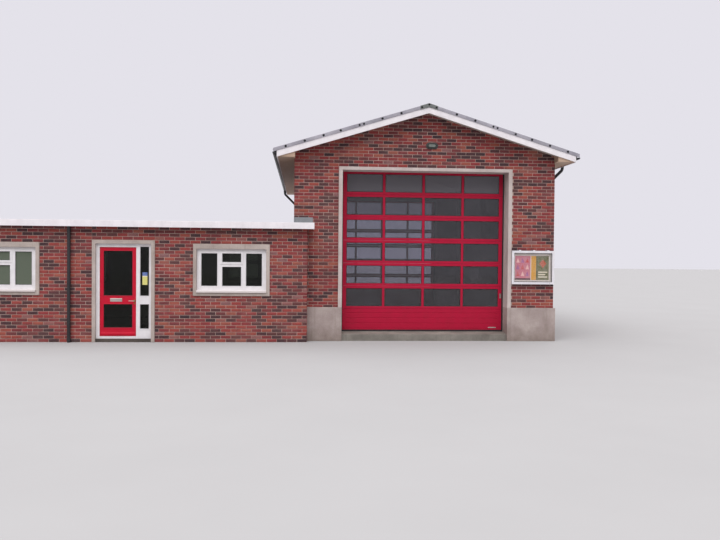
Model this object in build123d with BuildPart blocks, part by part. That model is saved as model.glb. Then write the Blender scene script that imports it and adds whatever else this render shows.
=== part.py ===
"""A small brick fire station: a gabled engine bay with a door at each end, and a flat-roofed wing.

Millimetres. X runs along the front from left to right, Y runs back into the building and Z is up.
The origin is the middle of the building's box at the lowest ground. All walls stand on Z = 0.
"""
import os
from math import cos, pi, radians, sin, tan

from build123d import *

os.makedirs("parts", exist_ok=True)

# Brickwork
BRICK = 225.0             # one stretcher and its joint
COURSE = 75.0             # one course and its joint
WALL = 275.0              # cavity wall

# Engine bay
BAY_DEPTH = 10000.0       # front face to back face
APRON = 150.0             # paving level at the bay's front, above the lowest ground
FLOOR_STEP = 35.0         # bay floor above the apron
PIER = 4.5 * BRICK        # brick pier on each side of the door
DOOR_OPENING = 3840.0     # clear width between the concrete posts
DOOR_HEAD = 3750.0        # underside of the lintel above the apron
POST_FACE = 85.0          # width of a concrete post
LINTEL_FACE = 75.0        # height of the concrete lintel
PORTAL_DEPTH = 400.0      # posts and lintel, front to back
PLINTH_PROUD = 40.0       # concrete plinth and portal stand out from the brick
PLINTH_HEIGHT = 620.0     # above the apron

# Bay roof
PITCH = 17.0              # degrees
SOFFIT_LEVEL = 3990.0     # underside of the eaves soffit, above the apron
EAVES_RISE = 39.0         # from there to the underside of the roof at the fascia
DECK = 100.0              # thickness of the roof deck
VERGE = 300.0             # roof past the gable wall
EAVES = 390.0             # roof past the side wall
BARGE_THICK = 25.0        # bargeboard
BARGE_DROP = 40.0         # bargeboard below the deck
FASCIA_THICK = 22.0       # eaves fascia
SOFFIT_THICK = 12.0       # eaves soffit board
FASCIA_DROP = 12.0        # fascia below the soffit
SHEET_PITCH = 146.5       # corrugated roofing, crest to crest
SHEET_DEPTH = 54.0        # corrugated roofing, crest to trough
SHEET_THICK = 8.0         # corrugated roofing
SHEET_REACH = 80.0        # roofing past the fascia, over the gutter
SHEET_SIDES = 6           # flats that one corrugation is drawn with
TRIM_THICK = 8.0          # verge trim and ridge cap
TRIM_LAP = 10.0           # verge trim over the bargeboard
TRIM_COVER = 150.0        # verge trim over the sheets
CAP_WING = 200.0          # ridge cap, each side
GUTTER_R = 50.0           # half-round gutter, outside
GUTTER_THICK = 3.0
GUTTER_RISE = 100.0       # gutter lip above the underside of the eaves soffit
PIPE_R = 37.5             # rainwater pipe
PIPE_GAP = 20.0           # rainwater pipe to wall
PIPE_INSET = 750.0        # bay pipe back from the corner

# Sectional doors of the bay
SECTIONS = 7              # one solid, the rest glazed
COLUMNS = 4               # panes in a section
SECTION_THICK = 40.0
SECTION_GAP = 3.0         # line between two sections
DOOR_SIDE = 35.0          # seal beside the door
DOOR_LAP = 12.5           # door up behind the lintel
SEAL_HEIGHT = 40.0        # seal under the door
DOOR_STILE = 85.0         # end stile of a section
RAIL = 56.0               # top and bottom rail of a section
DOOR_BAR = 56.0           # upright between two panes
BAR_PITCH = 930.0
PANE_THICK = 16.0
RIB_PITCH = 120.0         # ribs of the solid section
RIB_FIRST = 100.0         # first groove below the section's top
RIB_GROOVE = 20.0
RIB_DEPTH = 6.0

# Gable vent
VENT_WIDTH = 280.0
VENT_HEIGHT = 150.0
VENT_BASE = 30.0
VENT_HOOD = 26.0
VENT_STEP = 22.0          # each step of the hood in from the edge
VENT_ASIDE = 123.0        # right of the ridge
VENT_LEVEL = 4334.0       # above the apron

# Notice board on the right pier
BOARD_MARGIN = 5.25       # brick seen on each side of the board
BOARD_HEIGHT = 776.0
BOARD_LOW = 1174.0        # above the apron
BOARD_THICK = 42.0        # case
BOARD_BACK = 10.0
BOARD_RIM = 78.0          # rim of the case, partly seen inside the door's frame
BOARD_FRAME = 52.0
BOARD_DOOR_THICK = 24.0
BOARD_GLASS = 5.0
KNUCKLE_GAP = 0.3         # between two knuckles of one hinge

# Wing
WING_DEPTH = 6300.0
WING_OVERLAP = 307.5      # wing in front of the bay's left corner
WING_FLOOR = 75.0         # wing floor above the lowest ground
WING_WALL = 2540.0        # wall height above the lowest ground
WING_ROOF = 110.0         # roof slab
WING_OVERHANG = 150.0     # roof and fascia past the walls
WING_FASCIA = 130.0       # height of the fascia
WING_FASCIA_THICK = 20.0
WING_FASCIA_DROP = 10.0   # fascia below the roof slab

# Brickwork along the wing's front, from left to right between the surrounds of its openings
BRICK_LEFT = 817.0        # left end to the left window
BRICK_PIPE = 1120.0       # left window to the doorway, with the rainwater pipe
BRICK_MIDDLE = 833.0      # doorway to the right window
BRICK_RIGHT = 837.0       # right window to the right end
PIPE_ASIDE = 477.0        # middle of the pipe to the doorway's surround

# Wing openings
SURROUND = 75.0           # concrete surround, sides and bottom
WINDOW_HEADER = 110.0     # concrete surround, top of a window
SURROUND_PROUD = 20.0     # surround out of the brick
SET_BACK = 60.0           # frames behind the surround's face
WINDOW_WIDTH = 1530.0     # inside the surround
WINDOW_HEIGHT = 965.0     # inside the surround
WINDOW_LOW = 1105.0       # inside bottom, above the lowest ground
FRAME_DEPTH = 70.0
FRAME_SIDE = 95.0         # window frame and sash, outside edges
MULLION = 105.0
SIDE_LIGHT = 355.0        # glass width beside the middle light
TRANSOM = 100.0
VENT_LIGHT = 198.0        # glass height of the top light
SILL_HEIGHT = 45.0
SILL_NOSE = 30.0          # sill out of the surround's face
GLASS_THICK = 24.0
VENT_PROUD = 12.0         # opening light out of its frame
VENT_SASH = 45.0          # width of the opening light's own frame

DOORWAY = 1198.0          # inside the surround
DOORWAY_HEAD = 2165.0     # inside top, above the lowest ground
LEFT_JAMB = 62.0
DOOR_MULLION = 68.0
RIGHT_JAMB = 55.0
DOOR_FRAME_HEAD = 60.0
THRESHOLD = 50.0
LIP = 15.0                # door stop past its post
LIP_THICK = 15.0
DOOR_GAP = 5.0            # round the moving leaf
LATCH_GAP = 8.0           # wider at the latch, where the leaf swings past its post
LEAF_THICK = 54.0
SIDELIGHT = 195.0         # glass width
STILE = 91.0              # leaf stile and top rail
BOTTOM_RAIL = 181.0
MID_RAIL_LOW = 834.0
MID_RAIL_HIGH = 1017.0
SIDE_PANEL = 165.0        # solid foot of the sidelight
HINGE_R = 8.0
HINGE_LENGTH = 50.0       # one knuckle
HINGE_END = 200.0         # hinge centre from the leaf's top or foot
PLATE_THICK = 4.0
HANDLE_LEVEL = 907.0
HANDLE_LENGTH = 120.0
HANDLE_R = 9.0
HANDLE_REACH = 45.0
ROSE_WIDTH = 34.0
ROSE_HEIGHT = 150.0
ROSE_THICK = 8.0
LETTER_WIDTH = 262.0
LETTER_HEIGHT = 76.0
LETTER_THICK = 10.0
LETTER_ASIDE = 40.0       # letter plate left of the leaf's middle

# Places that follow from the sizes
SLOPE = tan(radians(PITCH))
LEAN = cos(radians(PITCH))
bay_width = DOOR_OPENING + 2 * (POST_FACE + PIER)
window_outer = WINDOW_WIDTH + 2 * SURROUND
doorway_outer = DOORWAY + 2 * SURROUND
wing_length = BRICK_LEFT + BRICK_PIPE + BRICK_MIDDLE + BRICK_RIGHT + 2 * window_outer + doorway_outer
trim_reach = VERGE + 2 * TRIM_THICK
front_reach = WALL + WING_OVERHANG
total_x = WING_OVERHANG + wing_length - WING_OVERLAP + bay_width + EAVES + 2 * GUTTER_R
total_y = front_reach + BAY_DEPTH + trim_reach

wing_left = -total_x / 2 + WING_OVERHANG
wing_right = wing_left + wing_length
bay_left = wing_right - WING_OVERLAP
bay_right = bay_left + bay_width
bay_x = (bay_left + bay_right) / 2
bay_front = -total_y / 2 + front_reach
bay_back = bay_front + BAY_DEPTH
bay_y = (bay_front + bay_back) / 2
wing_front = bay_front - WALL
wing_back = wing_front + WING_DEPTH
left_window_x = wing_left + BRICK_LEFT + window_outer / 2
right_window_x = wing_right - BRICK_RIGHT - window_outer / 2
doorway_right = right_window_x - window_outer / 2 - BRICK_MIDDLE - SURROUND
doorway_left = doorway_right - DOORWAY

opening_left = bay_x - DOOR_OPENING / 2
opening_right = bay_x + DOOR_OPENING / 2
portal_front = bay_front - PLINTH_PROUD
portal_back = portal_front + PORTAL_DEPTH
lintel_low = APRON + DOOR_HEAD
portal_top = lintel_low + LINTEL_FACE
plinth_top = APRON + PLINTH_HEIGHT
floor_top = APRON + FLOOR_STEP
deck_rise = DECK / LEAN
fascia_face = bay_width / 2 + EAVES
fascia_back = fascia_face - FASCIA_THICK
soffit_low = APRON + SOFFIT_LEVEL
ridge_soffit = soffit_low + EAVES_RISE + SLOPE * fascia_back
gutter_top = soffit_low + GUTTER_RISE
barge_front = bay_front - VERGE
deck_front = barge_front + BARGE_THICK
deck_depth = 2 * (bay_y - deck_front)
crest = SHEET_DEPTH + SHEET_THICK
slope_length = (fascia_face + SHEET_REACH) / LEAN

BAY_CENTRE = Plane(origin=(bay_x, 0, 0), z_dir=(1, 0, 0))
BAY_MIDDLE = Plane(origin=(0, bay_y, 0), z_dir=(0, 1, 0))


def soffit(aside):
    """Height of the roof's underside at a distance from the ridge line."""
    return ridge_soffit - SLOPE * aside


def elevation(y):
    """A plane seen from the front: x is X, y is Z, and a negative extrusion goes back into the building."""
    return Plane(origin=(0, y, 0), x_dir=(1, 0, 0), z_dir=(0, -1, 0))


def side_view(x):
    """A plane seen from the right: x is Y, y is Z, and an extrusion goes towards +X."""
    return Plane(origin=(x, 0, 0), x_dir=(0, 1, 0), z_dir=(1, 0, 0))


def panel(x_span, y_span, mode=Mode.ADD):
    """A rectangle in the current sketch between two pairs of edges."""
    with Locations(((x_span[0] + x_span[1]) / 2, (y_span[0] + y_span[1]) / 2)):
        Rectangle(x_span[1] - x_span[0], y_span[1] - y_span[0], mode=mode)


def block(x_span, y_span, z_span, mode=Mode.ADD):
    """A box in the current part between three pairs of faces."""
    with Locations(tuple((low + high) / 2 for low, high in (x_span, y_span, z_span))):
        Box(x_span[1] - x_span[0], y_span[1] - y_span[0], z_span[1] - z_span[0], mode=mode)


def outline(points):
    """A filled outline in the current sketch."""
    Polygon(*points, align=None)


# Bay floor: a slab between the walls, with a ramp out under each door and round the posts' feet
with BuildPart() as bay_floor:
    with BuildSketch(Plane.XY):
        panel((bay_left + WALL, bay_right - WALL), (bay_front + WALL, bay_back - WALL))
        panel((opening_left, opening_right), (portal_back, 2 * bay_y - portal_back))
        for outward in (-1, 1):
            inner = bay_x + outward * DOOR_OPENING / 2
            foot = sorted((inner, inner + outward * POST_FACE))
            panel(foot, (portal_front, portal_back), mode=Mode.SUBTRACT)
            panel(foot, (2 * bay_y - portal_back, 2 * bay_y - portal_front), mode=Mode.SUBTRACT)
        for low in (bay_front, 2 * bay_y - portal_back):
            panel((opening_left, opening_right), (low, low + portal_back - bay_front), mode=Mode.SUBTRACT)
    extrude(amount=floor_top)
    with BuildSketch(side_view(opening_left)) as ramp:
        outline([(bay_front, 0), (portal_back, 0), (portal_back, floor_top), (bay_front, APRON)])
        mirror(about=Plane(origin=(bay_y, 0, 0), z_dir=(1, 0, 0)))
    extrude(amount=DOOR_OPENING)
bay_floor.part.label = "bay_floor"
export_step(bay_floor.part, "parts/bay_floor.step")

# Side walls of the bay, cut to the slope of the roof
with BuildPart() as bay_side_walls:
    with BuildSketch(elevation(bay_front + WALL)):
        half = bay_width / 2
        outline([(bay_x + half, 0), (bay_x + half, soffit(half)),
                 (bay_x + half - WALL, soffit(half - WALL)), (bay_x + half - WALL, 0)])
    extrude(amount=-(BAY_DEPTH - 2 * WALL))
    mirror(about=BAY_CENTRE)
bay_side_walls.part.label = "bay_side_walls"
export_step(bay_side_walls.part, "parts/bay_side_walls.step")

# Brick piers on both sides of both doors, between plinth and lintel level
with BuildPart() as bay_piers:
    with BuildSketch(elevation(bay_front)):
        panel((bay_left, bay_left + PIER), (plinth_top, portal_top))
        panel((bay_right - PIER, bay_right), (plinth_top, portal_top))
    extrude(amount=-WALL)
    mirror(about=BAY_MIDDLE)
bay_piers.part.label = "bay_piers"
export_step(bay_piers.part, "parts/bay_piers.step")

# Brick gables over both doors
with BuildPart() as bay_gables:
    with BuildSketch(elevation(bay_front)):
        outline([(bay_left, portal_top), (bay_right, portal_top), (bay_right, soffit(bay_width / 2)),
                 (bay_x, ridge_soffit), (bay_left, soffit(bay_width / 2))])
    extrude(amount=-WALL)
    mirror(about=BAY_MIDDLE)
bay_gables.part.label = "bay_gables"
export_step(bay_gables.part, "parts/bay_gables.step")

# Concrete plinth blocks under the piers and posts. The front left one stops at the wing
with BuildPart() as plinths:
    with BuildSketch(Plane.XY):
        panel((opening_right + POST_FACE, bay_right + PLINTH_PROUD), (portal_front, bay_front + WALL))
        panel((opening_right, opening_right + POST_FACE), (portal_front, portal_back))
        mirror(about=Plane(origin=(0, bay_y, 0), z_dir=(0, 1, 0)))
        mirror(about=Plane(origin=(bay_x, 0, 0), z_dir=(1, 0, 0)))
        panel((bay_left - PLINTH_PROUD, bay_left), (portal_front, bay_front + WALL), mode=Mode.SUBTRACT)
        panel((bay_left, wing_right), (portal_front, bay_front), mode=Mode.SUBTRACT)
    extrude(amount=plinth_top)
plinths.part.label = "plinths"
export_step(plinths.part, "parts/plinths.step")

# Concrete posts of both portals, on the plinths
with BuildPart() as portal_posts:
    with BuildSketch(Plane.XY.offset(plinth_top)):
        panel((opening_left - POST_FACE, opening_left), (portal_front, portal_back))
        panel((opening_right, opening_right + POST_FACE), (portal_front, portal_back))
    extrude(amount=lintel_low - plinth_top)
    mirror(about=BAY_MIDDLE)
portal_posts.part.label = "portal_posts"
export_step(portal_posts.part, "parts/portal_posts.step")

# Concrete lintels on the posts
with BuildPart() as portal_lintels:
    with BuildSketch(elevation(portal_front)):
        panel((opening_left - POST_FACE, opening_right + POST_FACE), (lintel_low, portal_top))
    extrude(amount=-PORTAL_DEPTH)
    mirror(about=BAY_MIDDLE)
portal_lintels.part.label = "portal_lintels"
export_step(portal_lintels.part, "parts/portal_lintels.step")

# Roof deck, one slab for each slope, meeting at the ridge
with BuildPart() as roof_deck_right:
    with BuildSketch(elevation(deck_front)):
        outline([(bay_x, ridge_soffit), (bay_x + fascia_back, soffit(fascia_back)),
                 (bay_x + fascia_back, soffit(fascia_back) + deck_rise),
                 (bay_x, ridge_soffit + deck_rise)])
    extrude(amount=-deck_depth)
roof_deck_right.part.label = "roof_deck_right"
export_step(roof_deck_right.part, "parts/roof_deck_right.step")

with BuildPart() as roof_deck_left:
    mirror(roof_deck_right.part, about=BAY_CENTRE)
roof_deck_left.part.label = "roof_deck_left"
export_step(roof_deck_left.part, "parts/roof_deck_left.step")

# Corrugated sheets on the deck: a wave across the slope, drawn out down the slope.
# The side laps are eased so that whole waves end flush with the deck
SLOPE_PLANE = Plane(
    origin=(bay_x, bay_y, ridge_soffit + deck_rise),
    x_dir=(0, 1, 0),
    z_dir=(LEAN, 0, -sin(radians(PITCH))),
)
waves = round(deck_depth / SHEET_PITCH)
laid_pitch = deck_depth / waves
flat = cos(pi / SHEET_SIDES)
wave_line = []
for step in range(waves * SHEET_SIDES + 1):
    along = (step / SHEET_SIDES - waves / 2) * laid_pitch
    rise = SHEET_DEPTH / 2 * (1 - cos(2 * pi * (step - 0.5) / SHEET_SIDES) / flat)
    wave_line.append((along, rise))

with BuildPart() as roof_sheets_right:
    with BuildSketch(SLOPE_PLANE):
        outline(wave_line + [(along, rise + SHEET_THICK) for along, rise in reversed(wave_line)])
    extrude(amount=slope_length)
roof_sheets_right.part.label = "roof_sheets_right"
export_step(roof_sheets_right.part, "parts/roof_sheets_right.step")

with BuildPart() as roof_sheets_left:
    mirror(roof_sheets_right.part, about=BAY_CENTRE)
roof_sheets_left.part.label = "roof_sheets_left"
export_step(roof_sheets_left.part, "parts/roof_sheets_left.step")


def over_deck(reach, low, high):
    """Outline of a layer that bends over the ridge, between two heights square to the deck."""
    base = ridge_soffit + deck_rise
    return [(bay_x - reach, base + low / LEAN - SLOPE * reach), (bay_x, base + low / LEAN),
            (bay_x + reach, base + low / LEAN - SLOPE * reach),
            (bay_x + reach, base + high / LEAN - SLOPE * reach), (bay_x, base + high / LEAN),
            (bay_x - reach, base + high / LEAN - SLOPE * reach)]


# Bargeboards along both verges
with BuildPart() as bargeboards:
    with BuildSketch(elevation(barge_front)):
        outline(over_deck(fascia_face, -DECK - BARGE_DROP * LEAN, 0))
    extrude(amount=-BARGE_THICK)
    mirror(about=BAY_MIDDLE)
bargeboards.part.label = "bargeboards"
export_step(bargeboards.part, "parts/bargeboards.step")

# Verge trims: an angle over the edge of the sheets and down in front of the bargeboard
with BuildPart() as verge_trims:
    with BuildSketch(elevation(barge_front - TRIM_THICK)):
        outline(over_deck(fascia_face + SHEET_REACH, -TRIM_LAP, crest + TRIM_THICK))
    extrude(amount=-TRIM_THICK)
    with BuildSketch(elevation(barge_front)):
        outline(over_deck(fascia_face + SHEET_REACH, crest, crest + TRIM_THICK))
    extrude(amount=-TRIM_COVER)
    mirror(about=BAY_MIDDLE)
verge_trims.part.label = "verge_trims"
export_step(verge_trims.part, "parts/verge_trims.step")

# Ridge cap between the trims, with an end piece over each trim
with BuildPart() as ridge_cap:
    cap_front = barge_front + TRIM_COVER
    with BuildSketch(elevation(cap_front)):
        outline(over_deck(CAP_WING, crest, crest + TRIM_THICK))
    extrude(amount=-(bay_y - cap_front))
    with BuildSketch(elevation(barge_front - TRIM_THICK)):
        outline(over_deck(CAP_WING, crest + TRIM_THICK, crest + 2 * TRIM_THICK))
    extrude(amount=-(2 * TRIM_COVER))
    with BuildSketch(elevation(barge_front - 2 * TRIM_THICK)):
        outline(over_deck(CAP_WING, -TRIM_LAP, crest + 2 * TRIM_THICK))
    extrude(amount=-TRIM_THICK)
    mirror(about=BAY_MIDDLE)
ridge_cap.part.label = "ridge_cap"
export_step(ridge_cap.part, "parts/ridge_cap.step")

# Boxed eaves: a level soffit and an upright fascia in one section, with a board across each end
with BuildPart() as boxed_eaves:
    with BuildSketch(elevation(deck_front)):
        panel((bay_right, bay_x + fascia_back), (soffit_low, soffit_low + SOFFIT_THICK))
        outline([(bay_x + fascia_back, soffit_low - FASCIA_DROP),
                 (bay_x + fascia_face, soffit_low - FASCIA_DROP),
                 (bay_x + fascia_face, soffit(fascia_face) + deck_rise),
                 (bay_x + fascia_back, soffit(fascia_back) + deck_rise)])
    extrude(amount=-deck_depth)
    with BuildSketch(elevation(deck_front)):
        outline([(bay_right, soffit_low), (bay_x + fascia_back, soffit_low),
                 (bay_x + fascia_back, soffit(fascia_back)), (bay_right, soffit(bay_width / 2))])
    extrude(amount=-SOFFIT_THICK)
    mirror(about=BAY_MIDDLE)
    mirror(about=BAY_CENTRE)
boxed_eaves.part.label = "boxed_eaves"
export_step(boxed_eaves.part, "parts/boxed_eaves.step")

# Half-round gutters on the fascias, with closed ends
gutter_x = bay_x + fascia_face + GUTTER_R
with BuildPart() as bay_gutters:
    with BuildSketch(elevation(barge_front)):
        with Locations((gutter_x, gutter_top)):
            Circle(GUTTER_R)
        panel((gutter_x - GUTTER_R, gutter_x + GUTTER_R), (gutter_top, gutter_top + GUTTER_R),
              mode=Mode.SUBTRACT)
    extrude(amount=-2 * (bay_y - barge_front))
    with BuildSketch(elevation(barge_front + GUTTER_THICK)):
        with Locations((gutter_x, gutter_top)):
            Circle(GUTTER_R - GUTTER_THICK)
    extrude(amount=-2 * (bay_y - barge_front - GUTTER_THICK), mode=Mode.SUBTRACT)
    mirror(about=BAY_CENTRE)
bay_gutters.part.label = "bay_gutters"
export_step(bay_gutters.part, "parts/bay_gutters.step")

# Rainwater pipes of the bay: a swan neck from the gutter back to the wall, then straight down
pipe_y = bay_front + PIPE_INSET
pipe_x = bay_right + PIPE_GAP + PIPE_R
neck = 3 * PIPE_R
with BuildPart() as bay_pipes:
    with BuildLine():
        Polyline(
            (gutter_x, pipe_y, gutter_top - GUTTER_R),
            (gutter_x, pipe_y, gutter_top - GUTTER_R - neck),
            (pipe_x, pipe_y, gutter_top - GUTTER_R - neck - (gutter_x - pipe_x)),
            (pipe_x, pipe_y, 0),
        )
    with BuildSketch(Plane(origin=(gutter_x, pipe_y, gutter_top - GUTTER_R), z_dir=(0, 0, -1))):
        Circle(PIPE_R)
    sweep(transition=Transition.RIGHT)
    with Locations(*[(pipe_x - PIPE_GAP / 2 - PIPE_R / 2, pipe_y, height * APRON)
                     for height in (3, 12, 21)]):
        Box(PIPE_GAP + PIPE_R, BRICK / 2, COURSE / 2)
    far_side = mirror(bay_pipes.part, about=BAY_CENTRE, mode=Mode.PRIVATE)
    mirror(far_side, about=BAY_MIDDLE)
bay_pipes.part.label = "bay_pipes"
export_step(bay_pipes.part, "parts/bay_pipes.step")


# Sectional door of the front, six glazed sections over a solid one
section_height = (DOOR_HEAD + DOOR_LAP - FLOOR_STEP) / SECTIONS
leaf_height = section_height - SECTION_GAP
door_left = opening_left + DOOR_SIDE
door_right = opening_right - DOOR_SIDE
glazed_lows = [floor_top + section_height * number for number in range(1, SECTIONS)]


def section_lights(low, mode=Mode.ADD):
    """The row of lights in the door section that starts at a height, in the current sketch."""
    edges = [door_left + DOOR_STILE]
    for bar in range(1, COLUMNS):
        bar_x = bay_x + (bar - COLUMNS / 2) * BAR_PITCH
        edges += [bar_x - DOOR_BAR / 2, bar_x + DOOR_BAR / 2]
    edges.append(door_right - DOOR_STILE)
    for left, right in zip(edges[::2], edges[1::2]):
        panel((left, right), (low + RAIL, low + leaf_height - RAIL), mode=mode)


with BuildPart() as front_door_sections:
    with BuildSketch(elevation(portal_back)):
        for glazed_low in glazed_lows:
            panel((door_left, door_right), (glazed_low, glazed_low + leaf_height))
            section_lights(glazed_low, mode=Mode.SUBTRACT)
    extrude(amount=-SECTION_THICK)
front_door_sections.part.label = "front_door_sections"
export_step(front_door_sections.part, "parts/front_door_sections.step")

# Panes of the front door, held in the middle of the sections
with BuildPart() as front_door_panes:
    with BuildSketch(elevation(portal_back + (SECTION_THICK - PANE_THICK) / 2)):
        for glazed_low in glazed_lows:
            section_lights(glazed_low)
    extrude(amount=-PANE_THICK)
front_door_panes.part.label = "front_door_panes"
export_step(front_door_panes.part, "parts/front_door_panes.step")

# Rear door, the same again
with BuildPart() as rear_door_sections:
    mirror(front_door_sections.part, about=BAY_MIDDLE)
rear_door_sections.part.label = "rear_door_sections"
export_step(rear_door_sections.part, "parts/rear_door_sections.step")

with BuildPart() as rear_door_panes:
    mirror(front_door_panes.part, about=BAY_MIDDLE)
rear_door_panes.part.label = "rear_door_panes"
export_step(rear_door_panes.part, "parts/rear_door_panes.step")

# Solid bottom section of both doors, with ribs that run between its end stiles
with BuildPart() as door_bottoms:
    with BuildSketch(elevation(portal_back)):
        panel((door_left, door_right), (floor_top + SEAL_HEIGHT, floor_top + leaf_height))
    extrude(amount=-SECTION_THICK)
    grooves = int((leaf_height - SEAL_HEIGHT) // RIB_PITCH)
    first_groove = floor_top + leaf_height - RIB_FIRST
    with BuildSketch(side_view(door_left + DOOR_STILE)):
        with Locations(*[(portal_back, first_groove - RIB_PITCH * number) for number in range(grooves)]):
            Polygon((-RIB_DEPTH, RIB_GROOVE / 2), (-RIB_DEPTH, -RIB_GROOVE / 2),
                    (RIB_DEPTH, -RIB_GROOVE / 4), (RIB_DEPTH, RIB_GROOVE / 4), align=None)
    extrude(amount=door_right - door_left - 2 * DOOR_STILE, mode=Mode.SUBTRACT)
    mirror(about=BAY_MIDDLE)
door_bottoms.part.label = "door_bottoms"
export_step(door_bottoms.part, "parts/door_bottoms.step")

# Rubber seals round both doors: a strip on each side and one under the bottom section
with BuildPart() as door_seals:
    with BuildSketch(elevation(portal_back)):
        panel((opening_left, door_left), (floor_top, lintel_low + DOOR_LAP))
        panel((door_right, opening_right), (floor_top, lintel_low + DOOR_LAP))
        panel((door_left, door_right), (floor_top, floor_top + SEAL_HEIGHT))
    extrude(amount=-SECTION_THICK)
    mirror(about=BAY_MIDDLE)
door_seals.part.label = "door_seals"
export_step(door_seals.part, "parts/door_seals.step")

# Oval vent in the front gable: a flat base with a rounded hood
with BuildPart() as gable_vent:
    with BuildSketch(elevation(bay_front)):
        with Locations((bay_x + VENT_ASIDE, APRON + VENT_LEVEL)):
            SlotOverall(VENT_WIDTH, VENT_HEIGHT)
    extrude(amount=VENT_BASE)
    for proud, inset in ((VENT_BASE, VENT_STEP), (VENT_BASE + VENT_HOOD, 2 * VENT_STEP)):
        with BuildSketch(elevation(bay_front - proud)):
            with Locations((bay_x + VENT_ASIDE, APRON + VENT_LEVEL)):
                SlotOverall(VENT_WIDTH - 2 * inset, VENT_HEIGHT - 2 * inset)
    loft()
gable_vent.part.label = "gable_vent"
export_step(gable_vent.part, "parts/gable_vent.step")

# Notice board on the right pier: a shallow case and a glazed door hung at its top edge
board_x = bay_right - PIER / 2
board_low = APRON + BOARD_LOW
board_high = board_low + BOARD_HEIGHT
board_face = bay_front - BOARD_THICK
board_door_back = board_face - DOOR_GAP
board_hinge_z = board_high + HINGE_R
board_hinge_y = board_door_back
board_width = PIER - 2 * BOARD_MARGIN
board_sides = (board_x - board_width / 2, board_x + board_width / 2)


def board_knuckles(offset):
    """Knuckles on the notice board's hinge line, shifted along it, each with a plate to the wood below."""
    spots = [(board_x + place * board_width / 3 + offset, board_hinge_y, board_hinge_z)
             for place in (-1, 0, 1)]
    with Locations(*[Location(spot, (0, 90, 0)) for spot in spots]):
        Cylinder(HINGE_R - 1, HINGE_LENGTH)


with BuildPart() as notice_board:
    block(board_sides, (board_face, bay_front), (board_low, board_high))
    block((board_sides[0] + BOARD_RIM, board_sides[1] - BOARD_RIM), (board_face, bay_front - BOARD_BACK),
          (board_low + BOARD_RIM, board_high - BOARD_RIM), mode=Mode.SUBTRACT)
    board_knuckles(-(HINGE_LENGTH + KNUCKLE_GAP) / 2)
    with Locations(*[(board_x + place * board_width / 3 - (HINGE_LENGTH + KNUCKLE_GAP) / 2,
                      (board_hinge_y + board_face + BOARD_THICK / 2) / 2,
                      board_high + PLATE_THICK / 2) for place in (-1, 0, 1)]):
        Box(HINGE_LENGTH, board_face + BOARD_THICK / 2 - board_hinge_y, PLATE_THICK)
notice_board.part.label = "notice_board"
export_step(notice_board.part, "parts/notice_board.step")

with BuildPart() as notice_board_door:
    with BuildSketch(elevation(board_door_back)):
        panel(board_sides, (board_low, board_high))
        panel((board_sides[0] + BOARD_FRAME, board_sides[1] - BOARD_FRAME),
              (board_low + BOARD_FRAME, board_high - BOARD_FRAME), mode=Mode.SUBTRACT)
    extrude(amount=BOARD_DOOR_THICK)
    board_knuckles((HINGE_LENGTH + KNUCKLE_GAP) / 2)
    with Locations(*[(board_x + place * board_width / 3 + (HINGE_LENGTH + KNUCKLE_GAP) / 2,
                      board_hinge_y - BOARD_DOOR_THICK / 4,
                      board_high + PLATE_THICK / 2) for place in (-1, 0, 1)]):
        Box(HINGE_LENGTH, BOARD_DOOR_THICK / 2, PLATE_THICK)
notice_board_door.part.label = "notice_board_door"
export_step(notice_board_door.part, "parts/notice_board_door.step")

with BuildPart() as notice_board_glass:
    with BuildSketch(elevation(board_door_back - (BOARD_DOOR_THICK - BOARD_GLASS) / 2)):
        panel((board_sides[0] + BOARD_FRAME, board_sides[1] - BOARD_FRAME),
              (board_low + BOARD_FRAME, board_high - BOARD_FRAME))
    extrude(amount=BOARD_GLASS)
notice_board_glass.part.label = "notice_board_glass"
export_step(notice_board_glass.part, "parts/notice_board_glass.step")

# Wing floor, inside the walls and under the doorway
with BuildPart() as wing_floor:
    with BuildSketch(Plane.XY):
        panel((wing_left + WALL, bay_left), (bay_front, wing_back - WALL))
        panel((doorway_left, doorway_right), (wing_front, bay_front))
    extrude(amount=WING_FLOOR)
wing_floor.part.label = "wing_floor"
export_step(wing_floor.part, "parts/wing_floor.step")

# Wing front wall to the left of the doorway, round the left window
window_span = (WINDOW_LOW - SURROUND, WINDOW_LOW + WINDOW_HEIGHT + WINDOW_HEADER)


def window_hole(x):
    """The opening that a window's surround fills, in the current sketch."""
    panel((x - window_outer / 2, x + window_outer / 2), window_span, mode=Mode.SUBTRACT)


with BuildPart() as wing_front_left:
    with BuildSketch(elevation(wing_front)):
        panel((wing_left, doorway_left - SURROUND), (0, WING_WALL))
        window_hole(left_window_x)
    extrude(amount=-WALL)
wing_front_left.part.label = "wing_front_left"
export_step(wing_front_left.part, "parts/wing_front_left.step")

# Wing front wall to the right of the doorway, round the right window
with BuildPart() as wing_front_right:
    with BuildSketch(elevation(wing_front)):
        panel((doorway_right + SURROUND, wing_right), (0, WING_WALL))
        window_hole(right_window_x)
    extrude(amount=-WALL)
wing_front_right.part.label = "wing_front_right"
export_step(wing_front_right.part, "parts/wing_front_right.step")

# Brickwork over the doorway
with BuildPart() as wing_over_door:
    with BuildSketch(elevation(wing_front)):
        panel((doorway_left - SURROUND, doorway_right + SURROUND),
              (DOORWAY_HEAD + SURROUND, WING_WALL))
    extrude(amount=-WALL)
wing_over_door.part.label = "wing_over_door"
export_step(wing_over_door.part, "parts/wing_over_door.step")

# End wall and rear wall of the wing
with BuildPart() as wing_end_wall:
    block((wing_left, wing_left + WALL), (bay_front, wing_back - WALL), (0, WING_WALL))
wing_end_wall.part.label = "wing_end_wall"
export_step(wing_end_wall.part, "parts/wing_end_wall.step")

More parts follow.
